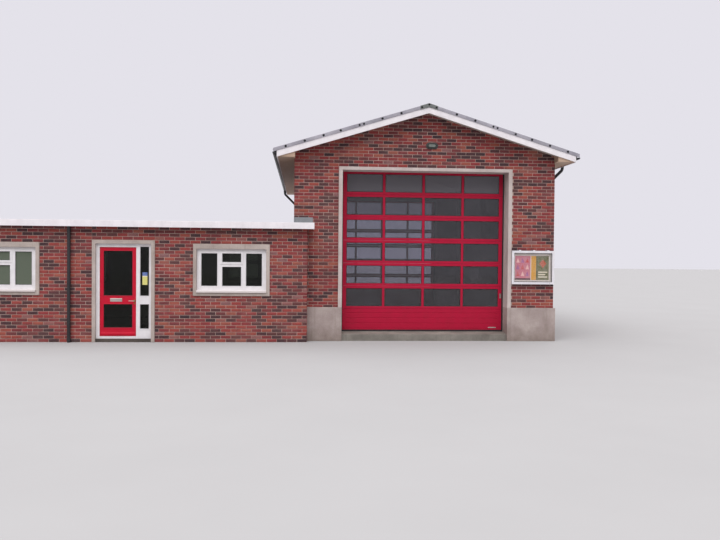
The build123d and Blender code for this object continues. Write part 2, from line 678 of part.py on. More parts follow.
with BuildPart() as wing_rear_wall:
    with BuildSketch(elevation(wing_back - WALL)):
        panel((wing_left, bay_left), (0, WING_WALL))
        window_hole(left_window_x)
        window_hole(right_window_x)
    extrude(amount=-WALL)
wing_rear_wall.part.label = "wing_rear_wall"
export_step(wing_rear_wall.part, "parts/wing_rear_wall.step")

# Flat roof of the wing: over the walls, and round the bay's front corner
roof_edge = WING_OVERHANG - WING_FASCIA_THICK
with BuildPart() as wing_roof:
    with BuildSketch(Plane.XY.offset(WING_WALL)):
        panel((wing_left - roof_edge, bay_left), (wing_front - roof_edge, wing_back + roof_edge))
        panel((bay_left, wing_right + roof_edge), (wing_front - roof_edge, bay_front))
    extrude(amount=WING_ROOF)
wing_roof.part.label = "wing_roof"
export_step(wing_roof.part, "parts/wing_roof.step")

# White fascia round the flat roof
with BuildPart() as wing_fascia:
    with BuildSketch(Plane.XY.offset(WING_WALL - WING_FASCIA_DROP)):
        panel((wing_left - WING_OVERHANG, bay_left),
              (wing_front - WING_OVERHANG, wing_back + WING_OVERHANG))
        panel((bay_left, wing_right + WING_OVERHANG), (wing_front - WING_OVERHANG, bay_front))
        panel((wing_left - roof_edge, bay_left),
              (wing_front - roof_edge, wing_back + roof_edge), mode=Mode.SUBTRACT)
        panel((bay_left, wing_right + roof_edge), (wing_front - roof_edge, bay_front),
              mode=Mode.SUBTRACT)
    extrude(amount=WING_FASCIA)
wing_fascia.part.label = "wing_fascia"
export_step(wing_fascia.part, "parts/wing_fascia.step")

# Concrete window surrounds, front and rear
surround_depth = WALL + SURROUND_PROUD
with BuildPart() as window_surrounds:
    for face, inward in ((wing_front - SURROUND_PROUD, -1), (wing_back + SURROUND_PROUD, 1)):
        with BuildSketch(elevation(face)):
            for x in (left_window_x, right_window_x):
                panel((x - window_outer / 2, x + window_outer / 2), window_span)
                panel((x - WINDOW_WIDTH / 2, x + WINDOW_WIDTH / 2),
                      (WINDOW_LOW, WINDOW_LOW + WINDOW_HEIGHT), mode=Mode.SUBTRACT)
        extrude(amount=inward * surround_depth)
window_surrounds.part.label = "window_surrounds"
export_step(window_surrounds.part, "parts/window_surrounds.step")

# White window frames with their sills: two side lights and a middle light under a top-hung vent
frame_low = WINDOW_LOW + SILL_HEIGHT
frame_high = WINDOW_LOW + WINDOW_HEIGHT
middle_light = WINDOW_WIDTH - 2 * (FRAME_SIDE + SIDE_LIGHT + MULLION)
side_x = middle_light / 2 + MULLION + SIDE_LIGHT / 2
glass_high = frame_high - FRAME_SIDE
glass_low = frame_low + FRAME_SIDE
vent_low = glass_high - VENT_LIGHT
lower_high = vent_low - TRANSOM
lights = [(-side_x, SIDE_LIGHT, glass_low, glass_high), (side_x, SIDE_LIGHT, glass_low, glass_high),
          (0, middle_light, vent_low, glass_high), (0, middle_light, glass_low, lower_high)]
fronts = ((wing_front - SURROUND_PROUD + SET_BACK, -1), (wing_back + SURROUND_PROUD - SET_BACK, 1))


def light_panels(x, mode=Mode.ADD):
    """The four panes of a window whose middle is at x, in the current sketch."""
    for aside, width, low, high in lights:
        panel((x + aside - width / 2, x + aside + width / 2), (low, high), mode=mode)


with BuildPart() as window_frames:
    for face, inward in fronts:
        for x in (left_window_x, right_window_x):
            with BuildSketch(elevation(face)):
                panel((x - WINDOW_WIDTH / 2, x + WINDOW_WIDTH / 2), (WINDOW_LOW, frame_high))
                light_panels(x, mode=Mode.SUBTRACT)
            extrude(amount=inward * FRAME_DEPTH)
            with BuildSketch(elevation(face)):
                vent_side = middle_light / 2 + VENT_SASH
                panel((x - vent_side, x + vent_side), (vent_low - VENT_SASH, glass_high + VENT_SASH))
                panel((x - middle_light / 2, x + middle_light / 2), (vent_low, glass_high),
                      mode=Mode.SUBTRACT)
            extrude(amount=-inward * VENT_PROUD)
            with BuildSketch(elevation(face)):
                panel((x - WINDOW_WIDTH / 2, x + WINDOW_WIDTH / 2), (WINDOW_LOW, frame_low))
            extrude(amount=-inward * (SET_BACK + SILL_NOSE))
window_frames.part.label = "window_frames"
export_step(window_frames.part, "parts/window_frames.step")

# Panes of the windows
with BuildPart() as window_glass:
    for face, inward in fronts:
        with BuildSketch(elevation(face - inward * (FRAME_DEPTH - GLASS_THICK) / 2)):
            for x in (left_window_x, right_window_x):
                light_panels(x)
        extrude(amount=inward * GLASS_THICK)
window_glass.part.label = "window_glass"
export_step(window_glass.part, "parts/window_glass.step")

# Concrete surround of the wing's doorway: two posts under a head
with BuildPart() as doorway_surround:
    with BuildSketch(elevation(wing_front - SURROUND_PROUD)):
        panel((doorway_left - SURROUND, doorway_right + SURROUND), (0, DOORWAY_HEAD + SURROUND))
        panel((doorway_left, doorway_right), (0, DOORWAY_HEAD), mode=Mode.SUBTRACT)
    extrude(amount=-surround_depth)
doorway_surround.part.label = "doorway_surround"
export_step(doorway_surround.part, "parts/doorway_surround.step")

# White door frame: jambs, mullion, head and threshold, with a stop lip in front of the leaf
frame_front = wing_front - SURROUND_PROUD + SET_BACK
leaf_front = frame_front + LIP_THICK + DOOR_GAP
leaf_back = leaf_front + LEAF_THICK
frame_depth = leaf_back - frame_front
bay_span_left = doorway_left + LEFT_JAMB
side_glass_right = doorway_right - RIGHT_JAMB
side_glass_left = side_glass_right - SIDELIGHT
bay_span_right = side_glass_left - DOOR_MULLION
threshold_top = WING_FLOOR + THRESHOLD
frame_head = DOORWAY_HEAD - DOOR_FRAME_HEAD
leaf_span = (bay_span_left + DOOR_GAP, bay_span_right - LATCH_GAP)
leaf_low = threshold_top + DOOR_GAP
leaf_high = frame_head - DOOR_GAP
hinge_x = bay_span_left + DOOR_GAP / 2
hinge_y = leaf_back + HINGE_R
hinge_levels = (leaf_low + HINGE_END, (leaf_low + leaf_high) / 2, leaf_high - HINGE_END)
side_lights = ((MID_RAIL_HIGH, frame_head), (threshold_top + SIDE_PANEL, MID_RAIL_LOW))


def door_knuckles(rise, toward, reach):
    """One knuckle of each hinge and the plate that carries it, towards +X or -X."""
    for level in hinge_levels:
        middle = level + rise
        with Locations((hinge_x, hinge_y, middle)):
            Cylinder(HINGE_R - 1, HINGE_LENGTH)
        plate = sorted((hinge_x, hinge_x + toward * reach))
        block(plate, (leaf_back, leaf_back + PLATE_THICK),
              (middle - HINGE_LENGTH / 2, middle + HINGE_LENGTH / 2))


with BuildPart() as wing_door_frame:
    with BuildSketch(elevation(frame_front)):
        panel((doorway_left, doorway_right), (WING_FLOOR, DOORWAY_HEAD))
        panel((bay_span_left, bay_span_right), (threshold_top, frame_head), mode=Mode.SUBTRACT)
        for light in side_lights:
            panel((side_glass_left, side_glass_right), light, mode=Mode.SUBTRACT)
    extrude(amount=-frame_depth)
    with BuildSketch(elevation(frame_front)):
        panel((bay_span_left, bay_span_right), (threshold_top, frame_head))
        panel((bay_span_left + LIP, bay_span_right - LIP), (threshold_top, frame_head - LIP),
              mode=Mode.SUBTRACT)
    extrude(amount=-LIP_THICK)
    door_knuckles(-(HINGE_LENGTH + KNUCKLE_GAP) / 2, -1, LEFT_JAMB / 2)
wing_door_frame.part.label = "wing_door_frame"
export_step(wing_door_frame.part, "parts/wing_door_frame.step")

# Glass of the sidelight
with BuildPart() as sidelight_glass:
    with BuildSketch(elevation(frame_front + (frame_depth - GLASS_THICK) / 2)):
        for light in side_lights:
            panel((side_glass_left, side_glass_right), light)
    extrude(amount=-GLASS_THICK)
sidelight_glass.part.label = "sidelight_glass"
export_step(sidelight_glass.part, "parts/sidelight_glass.step")

# Red door leaf: stiles, top rail, middle rail and bottom rail
leaf_lights = ((MID_RAIL_HIGH, leaf_high - STILE), (leaf_low + BOTTOM_RAIL, MID_RAIL_LOW))
leaf_glass_span = (leaf_span[0] + STILE, leaf_span[1] - STILE)
with BuildPart() as wing_door_leaf:
    with BuildSketch(elevation(leaf_front)):
        panel(leaf_span, (leaf_low, leaf_high))
        for light in leaf_lights:
            panel(leaf_glass_span, light, mode=Mode.SUBTRACT)
    extrude(amount=-LEAF_THICK)
    door_knuckles((HINGE_LENGTH + KNUCKLE_GAP) / 2, 1, STILE / 2)
wing_door_leaf.part.label = "wing_door_leaf"
export_step(wing_door_leaf.part, "parts/wing_door_leaf.step")

# Glass of the door leaf
with BuildPart() as wing_door_glass:
    with BuildSketch(elevation(leaf_front + (LEAF_THICK - GLASS_THICK) / 2)):
        for light in leaf_lights:
            panel(leaf_glass_span, light)
    extrude(amount=-GLASS_THICK)
wing_door_glass.part.label = "wing_door_glass"
export_step(wing_door_glass.part, "parts/wing_door_glass.step")

# Lever handle with its back plate on each face, and the letter plate
handle_x = leaf_span[1] - STILE / 2
letter_x = (leaf_span[0] + leaf_span[1]) / 2 - LETTER_ASIDE
with BuildPart() as wing_door_handle:
    for face, outward in ((leaf_front, -1), (leaf_back, 1)):
        block((handle_x - ROSE_WIDTH / 2, handle_x + ROSE_WIDTH / 2),
              tuple(sorted((face, face + outward * ROSE_THICK))),
              (HANDLE_LEVEL - ROSE_HEIGHT / 2, HANDLE_LEVEL + ROSE_HEIGHT / 2))
        lever_y = face + outward * HANDLE_REACH
        with BuildLine():
            Polyline((handle_x, face, HANDLE_LEVEL), (handle_x, lever_y, HANDLE_LEVEL),
                     (handle_x - HANDLE_LENGTH, lever_y, HANDLE_LEVEL))
        with BuildSketch(Plane(origin=(handle_x, face, HANDLE_LEVEL), z_dir=(0, outward, 0))):
            Circle(HANDLE_R)
        sweep(transition=Transition.RIGHT)
    letter_rail = (MID_RAIL_LOW + MID_RAIL_HIGH) / 2
    block((letter_x - LETTER_WIDTH / 2, letter_x + LETTER_WIDTH / 2),
          (leaf_front - LETTER_THICK, leaf_front),
          (letter_rail - LETTER_HEIGHT / 2, letter_rail + LETTER_HEIGHT / 2))
wing_door_handle.part.label = "wing_door_handle"
export_step(wing_door_handle.part, "parts/wing_door_handle.step")

# Rainwater pipe of the wing, from the fascia to the ground, with its wall clips
with BuildPart() as wing_pipe:
    wing_pipe_x = doorway_left - SURROUND - PIPE_ASIDE
    wing_pipe_y = wing_front - PIPE_GAP - PIPE_R
    with BuildSketch(Plane.XY.offset(0)):
        with Locations((wing_pipe_x, wing_pipe_y)):
            Circle(PIPE_R)
    extrude(amount=WING_WALL)
    with Locations(*[(wing_pipe_x, wing_front - (PIPE_GAP + PIPE_R) / 2, height * COURSE)
                     for height in (5, 18, 31)]):
        Box(BRICK / 2, PIPE_GAP + PIPE_R, COURSE / 2)
wing_pipe.part.label = "wing_pipe"
export_step(wing_pipe.part, "parts/wing_pipe.step")
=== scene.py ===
"""Looks of a small brick fire station, built round its CAD frame.

Metres, in the frame's axes: X along the front, Y back into the building, Z up.
"""

import math
import random

import bpy
from mathutils import Matrix, Vector


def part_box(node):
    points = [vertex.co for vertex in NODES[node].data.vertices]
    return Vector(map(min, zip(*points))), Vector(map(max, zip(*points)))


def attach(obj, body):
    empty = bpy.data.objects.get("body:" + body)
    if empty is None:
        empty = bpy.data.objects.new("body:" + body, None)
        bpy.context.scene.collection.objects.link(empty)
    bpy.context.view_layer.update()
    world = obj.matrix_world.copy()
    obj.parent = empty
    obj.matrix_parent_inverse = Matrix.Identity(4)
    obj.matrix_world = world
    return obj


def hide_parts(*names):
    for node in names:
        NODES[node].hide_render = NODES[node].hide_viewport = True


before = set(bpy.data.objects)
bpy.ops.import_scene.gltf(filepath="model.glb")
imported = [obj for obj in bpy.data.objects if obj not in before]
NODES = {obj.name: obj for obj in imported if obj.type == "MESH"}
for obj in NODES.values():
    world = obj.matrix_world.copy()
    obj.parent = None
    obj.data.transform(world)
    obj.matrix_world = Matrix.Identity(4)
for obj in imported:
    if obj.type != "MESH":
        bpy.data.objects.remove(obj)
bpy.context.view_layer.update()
SCENE = bpy.context.scene

# Brickwork
BRICK, COURSE, JOINT = 0.225, 0.075, 0.010
RECESS = 0.005            # mortar behind the brick faces
ARRIS = 0.0025            # worn edge of a brick
SIDE_GAP = 0.006          # brickwork to the concrete or the wall beside it
HOLE_GAP = JOINT * 0.6    # brickwork to what fills a hole
LEAST_LENGTH = 0.03       # a shorter piece of brick is left out
LEAST_HEIGHT = 0.018
WOBBLE = 0.0011           # how far a brick's edge strays

# Places, read from the frame
pier_low, pier_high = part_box("bay_piers")
side_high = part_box("bay_side_walls")[1]
gable_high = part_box("bay_gables")[1]
wing_l_low, wing_l_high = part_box("wing_front_left")
wing_r_low, wing_r_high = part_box("wing_front_right")
over_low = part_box("wing_over_door")[0]
rear_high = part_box("wing_rear_wall")[1]
roof_low, roof_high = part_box("wing_roof")
stone_low, stone_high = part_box("window_surrounds")
portal_low, portal_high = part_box("portal_lintels")
door_low, door_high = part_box("front_door_sections")
eaves_low, eaves_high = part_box("boxed_eaves")
sheets_low, sheets_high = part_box("roof_sheets_right")
leaf_low, leaf_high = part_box("wing_door_leaf")
barge_low, barge_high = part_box("bargeboards")
BAY_L, BAY_R, BAY_F, BAY_B = pier_low.x, pier_high.x, pier_low.y, pier_high.y
BAY_X = (BAY_L + BAY_R) / 2
PLINTH_TOP, PORTAL_TOP = pier_low.z, pier_high.z
PORTAL_L, PORTAL_R = portal_low.x, portal_high.x
WING_L, WING_R, WING_F, WING_B = wing_l_low.x, wing_r_high.x, wing_l_low.y, rear_high.y
WING_TOP, RIDGE_Z = wing_l_high.z, gable_high.z
WALL = BAY_F - WING_F
FLOOR_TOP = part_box("bay_floor")[1].z
FASCIA_OUT = eaves_high.x - BAY_X


def rgb(red, green, blue):
    """A colour written as it shows on screen, 0 to 255, as the shader wants it."""
    def one(c):
        c /= 255
        return c / 12.92 if c <= 0.04045 else ((c + 0.055) / 1.055) ** 2.4
    return (one(red), one(green), one(blue), 1.0)


def add_node(tree, kind, links=(), **settings):
    """A shader node. A value that is a socket is joined, another is set, and None is left alone."""
    made = tree.nodes.new(kind)
    for key, value in settings.items():
        setattr(made, key, value)
    for socket, value in dict(links).items():
        if isinstance(value, bpy.types.NodeSocket):
            tree.links.new(value, made.inputs[socket])
        elif value is not None:
            made.inputs[socket].default_value = value
    return made


LOOKS = {}


class Look:
    """A procedural material that is put together node by node."""

    def __init__(self, name, rough=0.6, **sockets):
        self.material = LOOKS[name] = bpy.data.materials.new(name)
        self.material.use_nodes = True
        self.tree = self.material.node_tree
        self.shader = self.tree.nodes["Principled BSDF"]
        self.shader.inputs["Roughness"].default_value = rough
        for socket, value in sockets.items():
            self.shader.inputs[socket.replace("_", " ")].default_value = value
        self.place = self.node("ShaderNodeTexCoord").outputs["Object"]

    def node(self, kind, links=(), **settings):
        return add_node(self.tree, kind, links, **settings)

    def to(self, socket, value):
        self.tree.links.new(value, self.shader.inputs[socket])

    def stretch(self, x, y, z):
        """The object's own coordinates, scaled along each axis."""
        return self.node("ShaderNodeMapping", {"Vector": self.place, "Scale": (x, y, z)}).outputs["Vector"]

    def noise(self, scale, detail=3.0, rough=0.6, place=None):
        made = self.node("ShaderNodeTexNoise", {
            "Vector": place or self.place, "Scale": scale, "Detail": detail, "Roughness": rough})
        return made.outputs["Fac"]

    def cells(self, scale):
        return self.node("ShaderNodeTexVoronoi", {"Vector": self.place, "Scale": scale}).outputs["Distance"]

    def ramp(self, value, *stops, steps=False):
        """Colours along a value: (position, colour) pairs. A colour may be one number for grey."""
        made = self.node("ShaderNodeValToRGB", {"Fac": value})
        made.color_ramp.interpolation = "CONSTANT" if steps else "LINEAR"
        line = made.color_ramp.elements
        while len(line) < len(stops):
            line.new(0.5)
        for element, (position, colour) in zip(line, stops):
            element.position = position
            element.color = colour if isinstance(colour, tuple) else (colour, colour, colour, 1)
        return made.outputs["Color"]

    def mix(self, share, one, other, kind="MIX"):
        made = self.node("ShaderNodeMix", {0: share, 6: one, 7: other}, data_type="RGBA", blend_type=kind)
        return made.outputs[2]

    def veil(self, body, over, value, start, end, most, least=0.0):
        """Lays a colour over the body where a value is high."""
        return self.mix(self.ramp(value, (start, least), (end, most)), body, over)

    def grit(self, body, value, share, dark=(0.3, 0.2), light=(0.7, 0.85)):
        """Speckles the body darker and lighter."""
        return self.mix(share, body, self.ramp(value, dark, light), "OVERLAY")

    def math(self, kind, one, other=0.0, third=None):
        return self.node("ShaderNodeMath", {0: one, 1: other, 2: third}, operation=kind).outputs[0]

    def axis(self, letter):
        return self.node("ShaderNodeSeparateXYZ", {0: self.place}).outputs[letter]

    def tone(self):
        """The number that each face of a piece carries."""
        return self.node("ShaderNodeAttribute", attribute_name="tone").outputs["Fac"]

    def bump(self, height, depth, strength=1.0, under=None):
        made = self.node("ShaderNodeBump", {
            "Height": height, "Distance": depth, "Strength": strength, "Normal": under})
        self.to("Normal", made.outputs["Normal"])
        return made.outputs["Normal"]


def brick_look():
    """Multi-coloured wire-cut bricks: each has a tone, clouds of fire colour, grit and a little bloom."""
    look = Look("brick", 0.88, Specular_IOR_Level=0.25)
    body = look.ramp(look.tone(), (0.0, rgb(50, 36, 44)), (0.13, rgb(66, 42, 48)), (0.28, rgb(90, 50, 52)),
                     (0.42, rgb(116, 47, 52)), (0.62, rgb(137, 50, 53)), (0.8, rgb(148, 62, 56)),
                     (0.94, rgb(150, 80, 66)), (1.0, rgb(128, 90, 92)))
    body = look.veil(body, rgb(78, 48, 52), look.noise(9.0, 4.0), 0.5, 0.74, 0.6)
    blush = look.noise(5.0, 3.0, 0.6, look.stretch(1.0, 1.0, 1.7))
    body = look.veil(body, rgb(150, 62, 66), blush, 0.55, 0.78, 0.4)
    grain = look.noise(240.0, 3.0, 0.75)
    body = look.grit(body, grain, 0.35, (0.3, 0.15), (0.72, 0.85))
    bloom = look.noise(1.3, 5.0, 0.7, look.stretch(1, 1, 1.6))
    look.to("Base Color", look.veil(body, rgb(176, 142, 132), bloom, 0.5, 0.82, 0.24, 0.06))
    look.bump(grain, 0.0014, 0.8)


def mortar_look():
    look = Look("mortar", 0.95, Specular_IOR_Level=0.2)
    sand = look.noise(420.0, 2.0)
    body = look.ramp(look.noise(1.7, 4.0), (0.3, rgb(158, 134, 124)), (0.7, rgb(196, 172, 162)))
    look.to("Base Color", look.grit(body, sand, 0.35, (0.3, 0.25), (0.7, 0.8)))
    look.bump(sand, 0.0015, 0.8)


def concrete_look(name, dark, light, stain, foot=None):
    """Cast concrete: cloudy, pitted, streaked down its face, and stained near the ground up to foot."""
    look = Look(name, 0.85, Specular_IOR_Level=0.3)
    body = look.ramp(look.noise(2.2, 6.0, 0.65), (0.3, rgb(*dark)), (0.7, rgb(*light)))
    streak = look.noise(3.0, 5.0, 0.7, look.stretch(5, 5, 0.35))
    body = look.veil(body, rgb(*stain), streak, 0.54, 0.8, 0.45)
    if foot:
        rise = look.math("MULTIPLY", look.axis("Z"), -1 / foot)
        ragged = look.math("MULTIPLY", look.math("SUBTRACT", look.noise(6.0, 5.0), 0.5), 1.4)
        damp = look.math("ADD", look.math("ADD", rise, 1.0), ragged)
        body = look.veil(body, rgb(*stain), damp, 0.05, 1.0, 0.6)
    grain = look.noise(160.0, 4.0, 0.7)
    look.to("Base Color", look.grit(body, grain, 0.22))
    holes = look.ramp(look.cells(60.0), (0.03, 0.0), (0.09, 1.0))
    look.bump(grain, 0.0012, 0.6, look.bump(holes, 0.0016, 0.5))


def sheet_look(name, dark, light, stain, run_off):
    """Roofing in separate sheets: each has its own tone, with run-off streaks and small patches of growth."""
    look = Look(name, 0.82, Specular_IOR_Level=0.3)
    body = look.mix(look.tone(), rgb(*dark), rgb(*light))
    body = look.veil(body, rgb(*stain), look.noise(7.0, 6.0, 0.7), 0.35, 0.75, 0.5)
    streak = look.noise(2.0, 5.0, 0.65, look.stretch(*run_off))
    body = look.veil(body, rgb(*stain), streak, 0.5, 0.8, 0.4)
    body = look.veil(body, rgb(120, 122, 92), look.noise(38.0, 4.0, 0.7), 0.62, 0.72, 0.45)
    grain = look.noise(220.0, 3.0, 0.7)
    look.to("Base Color", look.grit(body, grain, 0.25))
    look.bump(grain, 0.0012, 0.6)


def paint_look(name, colour, worn, rough=0.42, dirt=0.25, other=None, **sockets):
    """Paint or a plastic skin, uneven and grimy. other is (axis, middle, half width, colour) of a part."""
    look = Look(name, rough, **sockets)
    worn = rgb(*worn)
    body = look.veil(rgb(*colour), worn, look.noise(1.6, 4.0, 0.6, look.stretch(3, 3, 3)), 0.35, 0.75, 0.7)
    if other:
        letter, middle, half_width, colour_there = other
        aside = look.math("ABSOLUTE", look.math("SUBTRACT", look.axis(letter), middle))
        body = look.mix(look.math("LESS_THAN", aside, half_width), body, rgb(*colour_there))
    streak = look.noise(5.0, 5.0, 0.75, look.stretch(4, 4, 0.4))
    grime = tuple(0.55 * c + 0.10 * w for c, w in zip(worn[:3], (0.5, 0.46, 0.42))) + (1.0,)
    look.to("Base Color", look.veil(body, grime, streak, 0.55, 0.82, dirt))
    look.to("Roughness", look.ramp(look.noise(11.0, 4.0), (0.3, rough * 0.8), (0.8, min(1.0, rough * 1.45))))
    look.bump(look.noise(90.0, 3.0), 0.0005, 0.35)


def pane_look(name, tint, film, dust=(130, 130, 126), frosted=None, lighter_above=None, shine_least=0.04):
    """Glass that lets light through, with a film of dust: obscured left of frosted, and above a given height
    a thicker pale film, painted light that shows the bay door's top row of panes lighter.
    """
    look = Look(name)
    look.tree.nodes.remove(look.shader)
    clear = look.node("ShaderNodeBsdfTransparent", {"Color": rgb(*tint)}).outputs[0]
    shine = look.node("ShaderNodeBsdfGlossy", {"Roughness": 0.03}).outputs[0]
    facing = look.node("ShaderNodeLayerWeight", {"Blend": 0.5}).outputs["Facing"]
    edge = look.math("MULTIPLY_ADD", look.math("POWER", facing, 5.0), 1 - shine_least, shine_least)
    pane = look.node("ShaderNodeMixShader", {0: edge, 1: clear, 2: shine}).outputs[0]
    skin_of_dust = look.node("ShaderNodeBsdfDiffuse", {"Color": rgb(*dust)}).outputs[0]
    smears = look.noise(2.4, 5.0, 0.7, look.stretch(1, 1, 0.7))
    share = look.ramp(smears, (0.3, film * 0.4), (0.85, film * 1.8))
    if frosted is not None:
        share = look.mix(look.math("LESS_THAN", look.axis("X"), frosted), share, (0.42, 0.42, 0.42, 1))
    # painted light: a thicker pale film above this height makes the top row of panes show lighter
    if lighter_above is not None:
        share = look.mix(look.math("GREATER_THAN", look.axis("Z"), lighter_above), share, (0.4, 0.4, 0.4, 1))
    whole = look.node("ShaderNodeMixShader", {0: share, 1: pane, 2: skin_of_dust}).outputs[0]
    look.tree.links.new(whole, look.tree.nodes["Material Output"].inputs["Surface"])


PRINTS = ((236, 224, 200), (206, 116, 134), (206, 70, 72), (166, 92, 150), (84, 30, 44), (244, 190, 186),
          (104, 104, 60), (190, 78, 34), (222, 158, 34), (214, 206, 110), (66, 100, 170), (60, 84, 56))


def print_look():
    """Printed paper, one plain colour for each tone, a little faded."""
    look = Look("print", 0.6)
    stops = [(i / len(PRINTS), rgb(*colour)) for i, colour in enumerate(PRINTS)]
    body = look.ramp(look.tone(), *stops, steps=True)
    look.to("Base Color", look.veil(body, rgb(210, 202, 198), look.noise(14.0, 4.0), 0.3, 0.8, 0.3))
    look.bump(look.noise(30.0, 2.0), 0.0008, 0.4)


FROST_X = -3.0            # windows left of this have obscured glass
LIGHTER_ROW_Z = 3.4              # the top row of the bay door's panes has a thicker pale film: painted light that shows it lighter
SILL_Z, SILL_HALF = 1.105, 0.045
FASCIA_BACK = FASCIA_OUT - 0.022
TAN = (186, 158, 136)
brick_look()
mortar_look()
print_look()
for row in (
    # name, dark, light, stain, height of the stained foot
    ("concrete", (150, 134, 130), (180, 166, 161), (112, 98, 88), 0.4),
    # partly painted light: the portal's concrete is paler than the plinths', for its own pale finish and for
    # the brightness light from above gives the posts and lintel
    ("portal", (178, 164, 160), (204, 191, 187), (146, 132, 126)),
    ("floor_screed", (104, 98, 92), (140, 134, 126), (78, 72, 66)),
    # painted shade: the wing's floor is coloured dark all over, to stand for the shadow below the doorway's
    # threshold
    ("door_step", (60, 52, 48), (92, 84, 78), (48, 42, 38)),
    ("cast_stone", (158, 145, 138), (188, 175, 168), (128, 114, 104)),
    ("roof_trim", (134, 131, 140), (168, 164, 172), (112, 108, 110)),
    ("ridge_trim", (96, 99, 98), (117, 119, 117), (84, 84, 80)),
    ("lead", (120, 122, 126), (156, 158, 162), (98, 98, 98)),
):
    concrete_look(*row)
sheet_look("roof_sheet", (98, 97, 99), (124, 122, 122), (84, 83, 80), (0.5, 5, 1))
sheet_look("felt", (72, 72, 74), (82, 81, 82), (60, 60, 58), (2.5, 1.0, 1))
for row in (
    # name, colour, worn colour, roughness, dirt, part in another colour
    ("inner_wall", (168, 164, 152), (146, 140, 128), 0.8),
    ("white_board", (236, 230, 233), (216, 210, 213), 0.45),
    ("white_frame", (230, 226, 228), (208, 204, 206), 0.4, 0.16),
    ("sill_frame", (230, 226, 228), (208, 204, 206), 0.4, 0.16, ("Z", SILL_Z, SILL_HALF, (218, 208, 206))),
    ("soffit_board", (232, 226, 229), (214, 208, 211), 0.6, 0.3, ("X", BAY_X, FASCIA_BACK, TAN)),
    ("eaves_tan", TAN, (168, 142, 122), 0.6, 0.3),
    ("wing_soffit", (196, 190, 186), (170, 162, 156), 0.6, 0.3),
    ("black_pipe", (30, 29, 32), (46, 45, 48), 0.42, 0.2),
    ("door_seal", (22, 21, 24), (38, 37, 40), 0.65, 0.3),
    ("roof_board", (190, 182, 172), (160, 150, 140), 0.7, 0.3),
    ("vent_plastic", (142, 150, 144), (116, 122, 116), 0.6, 0.4),
    # partly painted shade: the hood's dark grey stands for its own dark plastic and for the shadow round the
    # vent
    ("vent_flange", (66, 68, 66), (52, 53, 52), 0.65, 0.4),
    ("notice_frame", (228, 224, 228), (200, 197, 202), 0.35, 0.2),
    ("notice_case", (112, 108, 114), (92, 89, 95), 0.6, 0.2),
    ("board_lining", (236, 226, 218), (220, 208, 200), 0.7, 0.1),
):
    paint_look(*row)
paint_look("red_door", (176, 6, 52), (160, 10, 46), 0.5, 0.12, Specular_IOR_Level=0.25)
paint_look("red_leaf", (196, 4, 44), (176, 8, 40), 0.4, 0.12, Specular_IOR_Level=0.3)
paint_look("dark_cap", (14, 14, 17), (26, 26, 28), 0.7, 0.1, Specular_IOR_Level=0.2)
paint_look("handle_metal", (198, 192, 186), (160, 154, 148), 0.32, 0.15, Metallic=1.0)
paint_look("brass", (150, 116, 62), (110, 84, 46), 0.4, 0.3, Metallic=1.0)
pane_look("bay_pane", (214, 214, 220), 0.09, (134, 130, 136), lighter_above=LIGHTER_ROW_Z)
pane_look("window_pane", (150, 155, 148), 0.015, (140, 150, 132), frosted=FROST_X, shine_least=0.02)
pane_look("dark_pane", (202, 206, 199), 0.01, shine_least=0.015)
pane_look("board_pane", (252, 252, 252), 0.006, (200, 200, 200), shine_least=0.02)

BOX_FACES = ((0, 1, 3, 2), (4, 6, 7, 5), (0, 4, 5, 1), (2, 3, 7, 6), (0, 2, 6, 4), (1, 5, 7, 3))


class Shape:
    """Corners and faces of one piece, gathered before its mesh is made."""

    def __init__(self):
        self.corners, self.faces, self.looks, self.tones = [], [], [], []

    def add(self, corners, faces, look=0, tone=0.0):
        base = len(self.corners)
        self.corners.extend(tuple(c) for c in corners)
        for face in faces:
            self.faces.append([base + i for i in face])
            self.looks.append(look)
            self.tones.append(tone)

    def take(self, node, look_of, shift):
        """Takes a CAD node's own mesh. shift moves its outer planes: (axis, where, by) each."""
        mesh = NODES[node].data
        corners = [list(v.co) for v in mesh.vertices]
        for axis, where, by in shift:
            for corner in corners:
                if abs(corner[axis] - where) < 1e-4:
                    corner[axis] += by
        for face in mesh.polygons:
            self.add([corners[i] for i in face.vertices], [range(len(face.vertices))],
                     look_of(face.normal, face.center), 0.5)

    def block(self, low, high, look=0, tone=0.0):
        """A box. The piece that it is in rounds its edges when that piece is built with an edge width."""
        points = [(x, y, z) for x in sorted((low[0], high[0])) for y in sorted((low[1], high[1]))
                  for z in sorted((low[2], high[2]))]
        self.add(points, BOX_FACES, look, tone)

    def build(self, name, looks, slot, body="building", replaces=(), edge=0.0):
        mesh = bpy.data.meshes.new(name)
        mesh.from_pydata(self.corners, [], self.faces)
        for look in looks:
            mesh.materials.append(LOOKS[look])
        mesh.polygons.foreach_set("material_index", self.looks)
        mesh.attributes.new("tone", "FLOAT", "FACE").data.foreach_set("value", self.tones)
        mesh.validate()
        mesh.shade_smooth()
        mesh.set_sharp_from_angle(angle=math.radians(34))
        piece = bpy.data.objects.new(name, mesh)
        SCENE.collection.objects.link(piece)
        if edge:
            round_edges(piece, edge)
        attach(piece, body)
        if replaces:
            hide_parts(*replaces)


def round_edges(piece, width):
    bevel = piece.modifiers.new("edges", "BEVEL")
    bevel.width, bevel.segments, bevel.limit_method = width, 2, "ANGLE"
    bevel.angle_limit = math.radians(35)


def clip(points, a, b, c):
    """The part of a flat outline where a*u + b*v <= c."""
    out = []
    for one, two in zip(points, points[1:] + points[:1]):
        d1, d2 = a * one[0] + b * one[1] - c, a * two[0] + b * two[1] - c
        if d1 <= 0:
            out.append(one)
        if (d1 < 0 < d2) or (d2 < 0 < d1):
            t = d1 / (d1 - d2)
            out.append((one[0] + t * (two[0] - one[0]), one[1] + t * (two[1] - one[1])))
    return out


def area_of(points):
    return sum(p[0] * q[1] - q[0] * p[1] for p, q in zip(points, points[1:] + points[:1])) / 2


